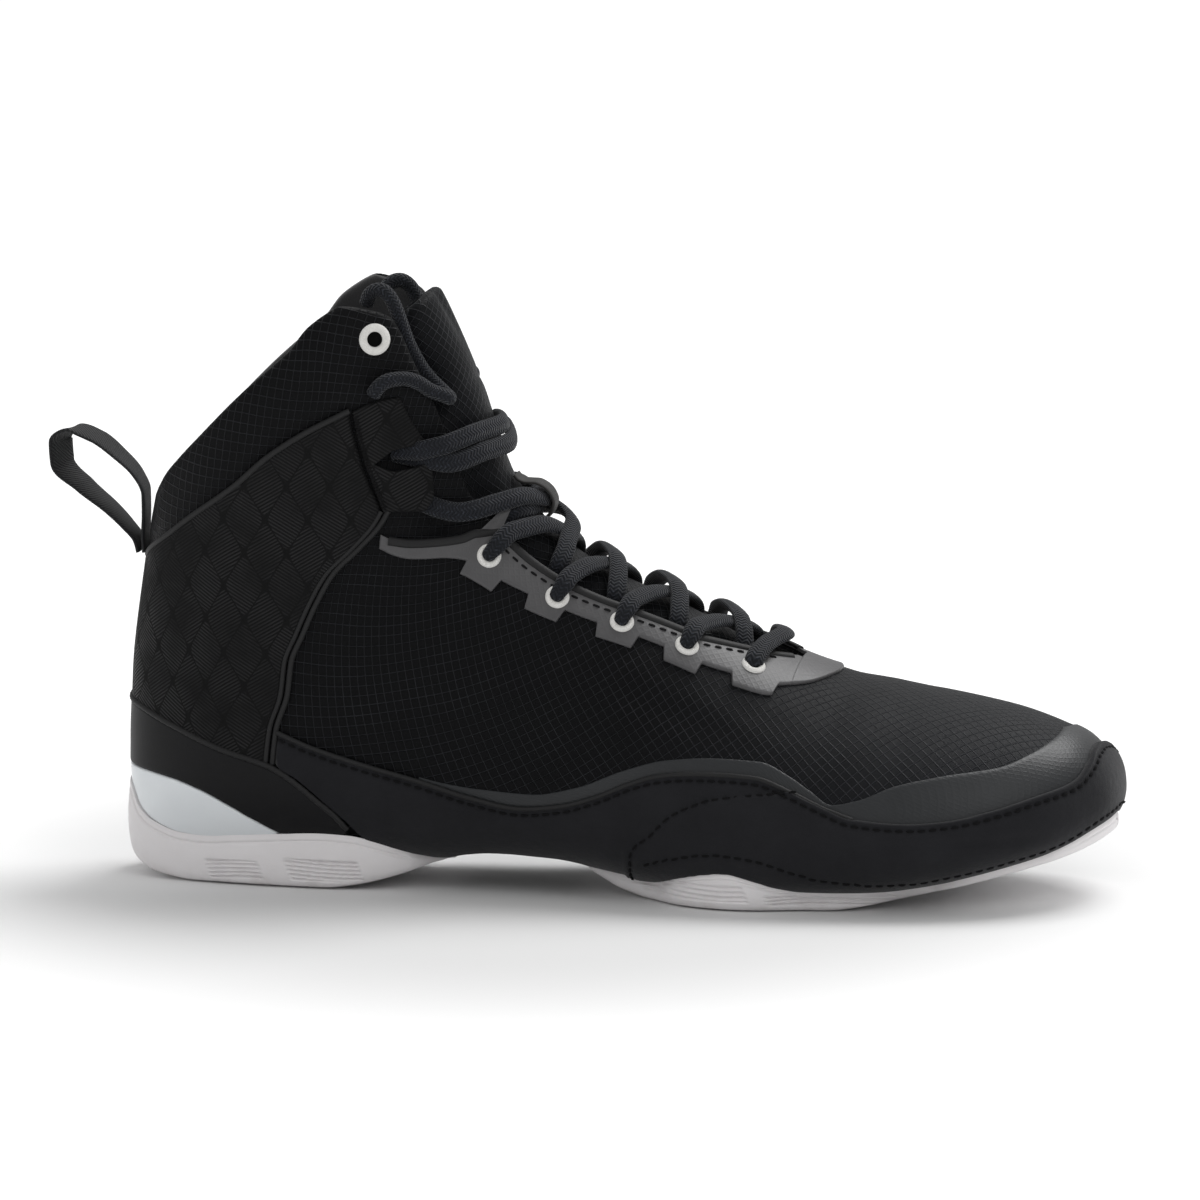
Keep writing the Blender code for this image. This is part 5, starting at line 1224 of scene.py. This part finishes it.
stay_film = film_finish("stay_film", (0.060, 0.059, 0.061), 0.45)
make_eyestay()
throat_lines, bindings = [], []
for side_sign in (-1, 1):
    rows = np.linspace(8.75, 16.355, 280)
    stops = np.stack([rows, edge_arc(rows, side_sign) + 1.1 * MM], axis=1)
    stops = np.concatenate([stops, STAY[13:18, :2] + (0, 0.8 * MM)])
    places, out = over_spot(stops[:, 0], side_sign * stops[:, 1])
    line = np.concatenate([places + out * (GAP + FILM * 0.8), out * 0.02], axis=1)
    both = along(line, np.linspace(0, 1, 360))
    bindings.append(tube(both[:, :3], both[:, 3:], 2.7 * MM, 1.6 * MM, 12))
    rows = np.linspace(9.0, 16.4, 300)
    places, out = over_spot(rows, side_sign * (edge_arc(rows, side_sign) + 3.9 * MM))
    throat_lines.append((places + out * (GAP + FILM), out))
gathered("throat_binding", bindings, [edging])
stitch_rows("throat_stitches", throat_lines, thread_black, 2.4 * MM, 1.0 * MM, 0.30 * MM)


# Eyelets: holes oversewn with thick white thread, five each side of the throat and one each side of the cuff.
# Each is a rounded band of thread turns round a dark dished hole.
EYELET_HOLE = 0.0032
EYELET_RING = 0.0072
CUFF_EYELET_HOLE = 0.0045
CUFF_EYELET_RING = 0.0094


def eyelet(name, centre, normal, outer, hole, height):
    """A ring of thread turns: a rounded band whose height swells with each turn, round a dark dished
    hole."""
    axis = Vector(normal)
    first = np.array(axis.orthogonal().normalized())
    second = np.cross(np.array(axis), first)
    around = np.linspace(0, 2 * math.pi, 193)
    section_turn = np.linspace(0, math.pi, 9)
    turns = round(math.pi * (outer + hole) / 2 / (0.55 * MM))
    lobes = 0.80 + 0.20 * np.abs(np.cos(around * turns / 2 + 0.35))
    band, middle = (outer - hole) / 4, (outer + hole) / 4
    radius = middle + np.cos(section_turn)[None] * band * (0.94 + 0.06 * lobes[:, None])
    rise = np.sin(section_turn)[None] * height * lobes[:, None]
    radius = np.concatenate([radius, np.full((193, 1), middle * 0.35), np.zeros((193, 1))], axis=1)
    rise = np.concatenate([rise, np.full((193, 2), 0.05 * MM)], axis=1)
    spoke = np.cos(around)[:, None] * first + np.sin(around)[:, None] * second
    grid = centre + spoke[:, None] * radius[..., None] + np.array(axis) * rise[..., None]
    wide = grid.shape[1]
    cell = np.arange(192)[:, None] * wide + np.arange(wide - 1)[None]
    faces = np.stack([cell, cell + wide, cell + wide + 1, cell + 1], axis=2).reshape(-1, 4)
    kinds = np.tile((np.arange(wide - 1) >= 8).astype(int), 192)
    foot = np.array([[k * wide for k in range(192)]])
    uv = np.stack([np.broadcast_to(around[:, None] * middle, radius.shape), radius], axis=2).reshape(-1, 2)
    piece = mesh_piece(name, grid.reshape(-1, 3), faces.tolist() + foot.tolist(), uv,
                       [white_thread, hole_dark], np.concatenate([kinds, [0]]))
    return piece


white_thread, white_tree, white_shader = finish_of("white_thread", (0.76, 0.75, 0.72), 0.7, Sheen_Weight=0.1)
relief(white_tree, white_shader, speckle(white_tree, 0.25 * MM, 3.0), 0.06 * MM)
white_clouds = speckle(white_tree, 1.5 * MM, 3.0)
tint(white_tree, white_shader, white_clouds, (0.80, 0.79, 0.77), (0.64, 0.63, 0.60))
hole_dark, hole_tree, hole_shader = finish_of("hole_dark", (0.003, 0.003, 0.003), 0.9, 0.05)
relief(hole_tree, hole_shader, speckle(hole_tree, 0.5 * MM), 0.1 * MM)
for side_name, side_sign in (("outer", -1), ("inner", 1)):
    arcs = side_sign * (edge_arc(EYELET_ROWS, side_sign) + EYELET_INSETS)
    spots, ways = over_spot(EYELET_ROWS, arcs)
    for number, (spot, way) in enumerate(zip(spots, ways)):
        ring_piece = eyelet(f"ring_{side_name}_{5 - number}", spot + way * (GAP + FILM - 0.1 * MM), way,
                            EYELET_RING, EYELET_HOLE, 1.1 * MM)
        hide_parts(f"eyelet_{side_name}_{5 - number}")
    spot, way = cast(np.array([(0.263 * LENGTH, side_sign * 0.2, 0.905 * COLLAR_HEIGHT)]),
                     np.array([(0.0, -side_sign, 0.0)]))
    ring_piece = eyelet(f"cuff_ring_{side_name}", spot[0] + way[0] * 1.15 * MM, way[0],
                        CUFF_EYELET_RING, CUFF_EYELET_HOLE, 0.9 * MM)
    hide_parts(f"cuff_eyelet_{side_name}")


# Tongue: padded rip-stop cloth under the throat, sewn in at its lower end. It is rounded at its edges and
# creased down the middle at its top.
TONGUE = 0.0036


def make_tongue():
    """Rows up the throat and columns across it. The face lies deep beside the throat and proud in its
    middle."""
    rows = np.linspace(7.7, 25.9, 190)
    share = np.linspace(-1, 1, 64)
    reach = np.interp(rows, [7.7, 9, 12, 20, 25, 25.9], [10, 19, 26, 30, 34, 31])[:, None] * MM
    drop = 0.75 * share[None] ** 2 * ramp(rows, 24.0, 25.9)[:, None]
    u = rows[:, None] - drop
    arc = share[None] * reach + 1e-7
    places, out = over_spot(u, arc)
    hidden = ramp(np.abs(share), 0.30, 0.72)[None]
    tuck = 4.8 * MM * hidden ** 2 * ramp(rows, 20.5, 23.0)[:, None]
    crown = 1.3 * MM * (1 - hidden) * ramp(rows, 9, 12)[:, None]
    deep = 2.0 * MM * hidden * (1 - ramp(rows, 18.5, 20.5))[:, None]
    crease = 1.5 * MM * np.exp(-(share / 0.10) ** 2)[None] * ramp(rows, 22.5, 25.7)[:, None]
    quilt = 0.35 * MM * np.exp(-((rows[:, None] - 21.6) / 0.25) ** 2) * (1 - hidden)
    depth = WALL + GAP + 0.4 * MM * (1 + hidden) + tuck + deep - crown + crease + quilt
    padding = np.interp(rows, [7.7, 12, 20, 25, 25.9], [0.45, 0.7, 1.0, 1.35, 1.25])[:, None] * TONGUE
    edge = np.minimum(from_edges(places, 0), from_edges(places, 1))
    roll = rolled(edge, 2.4 * MM)
    middle = places - out * (depth + padding / 2)[..., None]
    half = out * (padding / 2 * roll)[..., None]
    outside, inside = middle + half, middle - half
    length = np.cumsum(np.linalg.norm(np.gradient(places[:, 32], axis=0), axis=1))
    uv = np.stack([np.broadcast_to(length[:, None], arc.shape), arc], axis=2)
    piece = shell("tongue_pad", outside, inside, uv, [tongue_cloth, tongue_cloth])
    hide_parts("tongue")


tongue_cloth = ripstop("tongue_cloth", (0.0055, 0.0060, 0.0070), (0.036, 0.038, 0.043), 2.2 * MM,
                       math.radians(28))
make_tongue()


# Keeper: a strap of ribbed webbing, sewn to the tongue at both its ends. It stands up in a loop that the
# laces pass under from side to side.
KEEPER_PATH = np.array([
    (17.35, -0.5), (17.1, 0.1), (16.85, 1.6), (16.6, 3.8), (16.25, 5.2), (15.9, 5.5), (15.6, 4.7),
    (15.42, 2.9), (15.36, 1.2), (15.34, -0.4),
]) * (1, MM)


def strap(name, path, across, width, thickness, material):
    """Webbing along a path: a flat section with rounded edges, a little thicker in its middle."""
    ahead = np.gradient(path, axis=0)
    ahead /= np.linalg.norm(ahead, axis=1, keepdims=True)
    across = across - ahead * (across * ahead).sum(axis=1, keepdims=True)
    across /= np.linalg.norm(across, axis=1, keepdims=True)
    up = np.cross(ahead, across)
    turn = np.linspace(0, 2 * math.pi, 41)
    wide = np.sign(np.cos(turn)) * np.abs(np.cos(turn)) ** 0.35 * width / 2
    high = np.sign(np.sin(turn)) * np.abs(np.sin(turn)) ** 0.6 * thickness / 2
    grid = path[:, None] + across[:, None] * wide[None, :, None] + up[:, None] * high[None, :, None]
    travelled = run_of(path)
    cell = np.arange(len(path) - 1)[:, None] * 41 + np.arange(40)[None]
    faces = np.stack([cell, cell + 1, cell + 42, cell + 41], axis=2).reshape(-1, 4).tolist()
    faces += [list(range(40)), list(range((len(path) - 1) * 41, len(path) * 41 - 1))]
    uv = np.stack(np.broadcast_arrays(travelled[:, None], wide[None]), axis=2).reshape(-1, 2)
    return mesh_piece(name, grid.reshape(-1, 3), faces, uv, [material])


def webbing_finish(name, color, rib, angle):
    """Woven webbing: ribs across or aslant, with fine threads along."""
    material, tree, shader = finish_of(name, color, 0.7, 0.25, Sheen_Weight=0.08)
    lines = thread_lines(tree, rib, 60 * MM, angle, 0.42)
    lighter = tuple(channel * 2.6 for channel in color)
    tint(tree, shader, calc(tree, "MULTIPLY", lines, 0.7), color, lighter)
    below = relief(tree, shader, thread_lines(tree, 60 * MM, 0.5 * MM, angle, 0.4), 0.08 * MM)
    relief(tree, shader, lines, 0.22 * MM, below)
    return material


keeper_spots, keeper_ways = over_spot(KEEPER_PATH[:, 0], np.full(len(KEEPER_PATH), 1e-7))
keeper_line = along(keeper_spots + keeper_ways * KEEPER_PATH[:, 1:], np.linspace(0, 1, 70))
keeper_webbing = webbing_finish("keeper_webbing", (0.011, 0.0105, 0.0100), 1.0 * MM, 0.0)
keeper_across = np.repeat([[0.0, 1.0, 0.0]], 70, axis=0)
keeper = strap("keeper", keeper_line, keeper_across, 8.0 * MM, 1.1 * MM, keeper_webbing)
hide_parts("tongue_keeper")


# Lace: one oval knitted lace. From each eyelet a run rises over the throat's edge, crosses the tongue and
# goes under the other edge, and so up the throat to the keeper and the slits of the tabs.
LACE_WIDTH = 0.0058
LACE_THICKNESS = 0.0029


def lace_finish():
    """Knitted lace: slanting loops both ways across its width, with paler flecks of yarn."""
    color = (0.006, 0.007, 0.0095)
    material, tree, shader = finish_of("lace", color, 0.75, 0.2, Sheen_Weight=0.12, Sheen_Roughness=0.4)
    forward, across, _ = parts_of(tree, node(tree, "UVMap"))
    slant = calc(tree, "MULTIPLY", calc(tree, "PINGPONG", across, 1.1 * MM), 0.9)
    loops = calc(tree, "PINGPONG", calc(tree, "ADD", forward, slant), 0.55 * MM)
    ridge = span(tree, loops, 0.08 * MM, 0.5 * MM, soft=True)
    flecks = span(tree, speckle(tree, 0.8 * MM, 2.0), 0.52, 0.70, 0.18, 0.98)
    tint(tree, shader, calc(tree, "MULTIPLY", ridge, flecks), color, (0.036, 0.041, 0.053))
    relief(tree, shader, ridge, 0.26 * MM)
    return material


def lace_run(stops, narrow_first=True):
    """A run of lace through stops of (row, arc, lift): narrower where it goes into its eyelet."""
    stops = np.array(stops, float) * (1, MM, MM)
    spots, ways = over_spot(stops[:, 0], np.where(stops[:, 1] == 0, 1e-7, stops[:, 1]))
    line = spots + ways * stops[:, 2:]
    both = along(np.concatenate([line, ways * 0.02], axis=1), np.linspace(0, 1, 130))
    travelled = np.linspace(0, 1, 130)
    width = LACE_WIDTH * (1 - 0.30 * (1 - ramp(travelled, 0.01, 0.12)) * narrow_first)
    return tube(both[:, :3], both[:, 3:], width, LACE_THICKNESS, 20)


lace = lace_finish()
for number in range(4):
    low, high = EYELET_ROWS[number], EYELET_ROWS[number + 1]
    runs = []
    for side_sign, lifts in ((-1, (3.4, 1.9, 1.2, 0.8)), (1, (4.0, 3.4, 3.6, 2.0))):
        edge = edge_arc(high, side_sign) / MM
        inset = EYELET_INSETS[number + 1] / MM
        under = low + 0.30
        far_edge = edge_arc(under, -side_sign) / MM
        middle = (low + high) / 2 - (0.45 if number == 3 else 0)
        runs.append(lace_run([
            (high + 0.02, side_sign * (edge + inset + 0.5), -0.4),
            (high + 0.02, side_sign * (edge + inset + 0.1), 2.0),
            (high - 0.02, side_sign * (edge + inset - 2.8), 3.7),
            (high * 0.9 + middle * 0.1, side_sign * edge * 0.95, lifts[0]),
            ((high + middle) / 2, side_sign * edge * 0.5, lifts[1]),
            (middle, 0, lifts[2]),
            (under * 0.6 + middle * 0.4, -side_sign * far_edge * 0.50, lifts[3]),
            (under * 0.9 + middle * 0.1, -side_sign * (far_edge - 3.6), 0.0),
            (under, -side_sign * (far_edge - 0.2), -3.1),
            (under - 0.05, -side_sign * (far_edge + 2.6), -4.0),
        ]))
    crossing = gathered(f"lace_cross_{4 - number}", runs, [lace])
    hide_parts(f"lace_crossing_{4 - number}")

toe_halves = []
for side_sign in (-1, 1):
    edge = edge_arc(EYELET_ROWS[0], side_sign) / MM
    hole = edge + EYELET_INSETS[0] / MM
    half = [(9.42, hole, -0.6), (9.44, hole - 0.3, 1.6), (9.42, hole - 4.0, 3.0), (9.30, edge * 0.8, 3.6)]
    toe_halves.append(np.array(half) * (1, side_sign, 1))
bar_stops = np.concatenate([toe_halves[0], [(9.12, 0, 4.6)], toe_halves[1][::-1]])
bar = gathered("lace_toe_bar", [lace_run(bar_stops, False)], [lace])
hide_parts("lace_bar")

KEEPER_RUN = np.array([
    # row, arc from the side it starts on, lift of the run that lies under, lift of the run over it
    (16.35, -20.8, -3.2, -3.2), (16.5, -17.5, -1.6, -1.6), (16.35, -13, -0.2, 0.4), (16.05, -8, 0.0, 1.9),
    (15.9, 0, 0.2, 2.9), (16.6, 10, 0.8, 2.4), (17.2, 18, 2.2, 2.4), (17.8, 26, 3.0, 3.0),
    (18.2, 30, 2.4, 2.4), (18.85, 34.5, 1.4, 1.4), (19.5, 38.5, 0.3, 0.3), (20.1, 42, -1.2, -1.2),
])
keeper_runs = [lace_run(KEEPER_RUN[:, [0, 1, lift]] * (1, side_sign, 1), False)
               for side_sign, lift in ((1, 2), (-1, 3))]
keeper_cross = gathered("lace_cross_keeper", keeper_runs, [lace])
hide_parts("lace_crossing_keeper")

SLIT_START = np.array([
    # row, arc, lift: out of a tab's slit
    (21.8, -43, -2.4), (21.4, -39.5, -1.2), (20.95, -35.5, 0.3), (20.5, -31.5, 1.8), (20.05, -27.5, 2.6),
])
SLIT_END = np.array([
    # row, arc, lift: into the other tab's slit
    (20.8, 28, 3.4), (21.05, 32, 3.0), (21.3, 36, 1.9), (21.6, 39.5, 0.5), (21.9, 43, -1.2),
])
ANKLE_MIDDLES = (
    (1, [(19.3, -15, 1.6), (18.75, 0, 1.4), (19.4, 14, 3.4), (20.3, 23, 3.8)]),
    (-1, [(19.9, -15, 1.4), (19.55, 0, 1.0), (20.1, 15, 1.4)]),
)
ankle_runs = [lace_run(np.concatenate([SLIT_START, middle, SLIT_END]) * (1, side_sign, 1), False)
              for side_sign, middle in ANKLE_MIDDLES]
ankle_cross = gathered("lace_cross_ankle", ankle_runs, [lace])
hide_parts("lace_crossing_ankle")


# The lace's two ends: from behind each tab's top over its edge, down beside the collar and up over the
# tongue's top, where they are tucked inside the shoe.
LACE_END = np.array([
    # x, y on the outer side, z, and how much further out the inner side's lies
    (78.0, -28.9, 148.4, 1.5), (79.6, -29.6, 150.8, 1.5), (82.6, -28.6, 152.8, 1.6),
    (86.4, -26.4, 153.0, 1.7), (90.4, -23.9, 151.6, 1.9), (93.8, -21.9, 148.8, 2.2),
    (98.9, -19.6, 146.6, 2.4), (98.6, -16.2, 145.8, 0.5), (94.8, -15.1, 149.0, 0.6),
    (91.0, -15.4, 153.0, 0.9), (88.4, -16.0, 157.4, 0.5), (86.2, -16.6, 162.0, 0.3),
    (84.6, -17.2, 166.8, 0.2), (83.0, -17.4, 171.4, 0.2), (81.0, -17.0, 175.4, 0.2),
    (78.0, -16.0, 177.6, 0.1), (74.8, -14.6, 176.2, 0.0), (73.2, -13.2, 172.6, 0.0),
]) * MM
LACE_CORD = 0.0044


def make_lace_end(name, node_name, side):
    """A free end of the lace: a round tube along its own points."""
    route = LACE_END[:, :3].copy()
    if side > 0:
        route[:, 1] = LACE_END[:, 3] - route[:, 1]
        route[11:, 2] -= 2.6 * MM
    path = smooth_line(route, 160)
    for _ in range(14):
        path[1:-1] = (path[:-2] + 2 * path[1:-1] + path[2:]) / 4
    ups = np.repeat([[0.0, 1.0, 0.0]], len(path), axis=0)
    piece = gathered(name, [tube(path, ups, LACE_CORD, LACE_CORD, 16)], [lace])
    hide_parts(node_name)


make_lace_end("free_end_outer", "lace_end_outer", -1)
make_lace_end("free_end_inner", "lace_end_inner", 1)


# Pull loop: twill webbing folded double and sewn into the back seam under the cuff. It leans a little to the
# outer side.
PULL_LOOP = np.array([
    (5.4, 95), (5.1, 100), (5.3, 106), (5.2, 112), (2.8, 117.5), (-2.5, 123), (-9.5, 128.2), (-16, 130.3),
    (-20.3, 127), (-19.8, 120.5), (-13, 113.5), (-5, 107), (-0.2, 102.2), (2.8, 98.4), (3.7, 95),
]) * MM
LOOP_TURN = math.radians(24)
loop_x, loop_z = smooth_line(PULL_LOOP, 150).T
loop_turn = LOOP_TURN * np.clip((4 * MM - loop_x) / (22 * MM), 0, 1)
loop_webbing = webbing_finish("loop_webbing", (0.0075, 0.0078, 0.0085), 0.9 * MM, math.radians(38))
loop_line = np.stack([loop_x, 0 * loop_x, loop_z], axis=1)
loop_across = np.stack([np.sin(loop_turn), np.cos(loop_turn), 0 * loop_turn], axis=1)
loop = strap("pull_strap", loop_line, loop_across, 12.0 * MM, 1.3 * MM, loop_webbing)
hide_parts("pull_loop")


# Floor and light: a wide pale floor with painted light, whose emission makes it glow a little away from
# the shoe, an even bright room, two soft lamps from the front and a strong one from behind and above.
floor_material, floor_tree, floor_shader = finish_of("floor", (0.76, 0.76, 0.76), 0.9, 0.1)
floor_shader.inputs["Emission Color"].default_value = (1, 1, 1, 1)
relief(floor_tree, floor_shader, speckle(floor_tree, 2 * MM), 0.02 * MM)
LIT_FROM = (0.18, 0.24)
floor_spot = node(floor_tree, "TexCoord", output=3)
shrink = (1 / LIT_FROM[0], 1 / LIT_FROM[1], 0)
from_shoe = node(floor_tree, "VectorMath", {0: floor_spot, 1: shrink}, operation="MULTIPLY")
from_shoe = node(floor_tree, "VectorMath", {0: from_shoe}, output="Value", operation="LENGTH")
# Painted light: the floor's emission rises from none near the shoe to full strength away from it.
painted_floor_glow = span(floor_tree, from_shoe, 0.55, 1.35, 0.0, 0.36, soft=True)
floor_tree.links.new(painted_floor_glow, floor_shader.inputs["Emission Strength"])
bpy.ops.mesh.primitive_circle_add(vertices=96, radius=6, fill_type="NGON", location=(0, 0, 0))
floor = bpy.context.object
floor.name = "floor"
floor.data.materials.append(floor_material)
LAMPS = (
    # name, place, width, power
    ("key_lamp", (1.1, -1.3, 1.3), 1.0, 5),
    ("fill_lamp", (-1.5, -1.2, 0.9), 1.4, 3),
    ("top_lamp", (0.55, 0.80, 1.60), 1.1, 25),
)
for lamp_name, lamp_place, lamp_width, lamp_power in LAMPS:
    light = bpy.data.lights.new(lamp_name, "AREA")
    light.size = lamp_width
    light.energy = lamp_power
    lamp = bpy.data.objects.new(lamp_name, light)
    bpy.context.collection.objects.link(lamp)
    lamp.location = lamp_place
    lamp.rotation_euler = (Vector((0, 0, 0.06)) - Vector(lamp_place)).to_track_quat("-Z", "Y").to_euler()
world = bpy.data.worlds.new("room")
bpy.context.scene.world = world
world.use_nodes = True
world.node_tree.nodes["Background"].inputs["Color"].default_value = (1, 1, 1, 1)
world.node_tree.nodes["Background"].inputs["Strength"].default_value = 0.50
bpy.context.scene.view_settings.view_transform = "Standard"
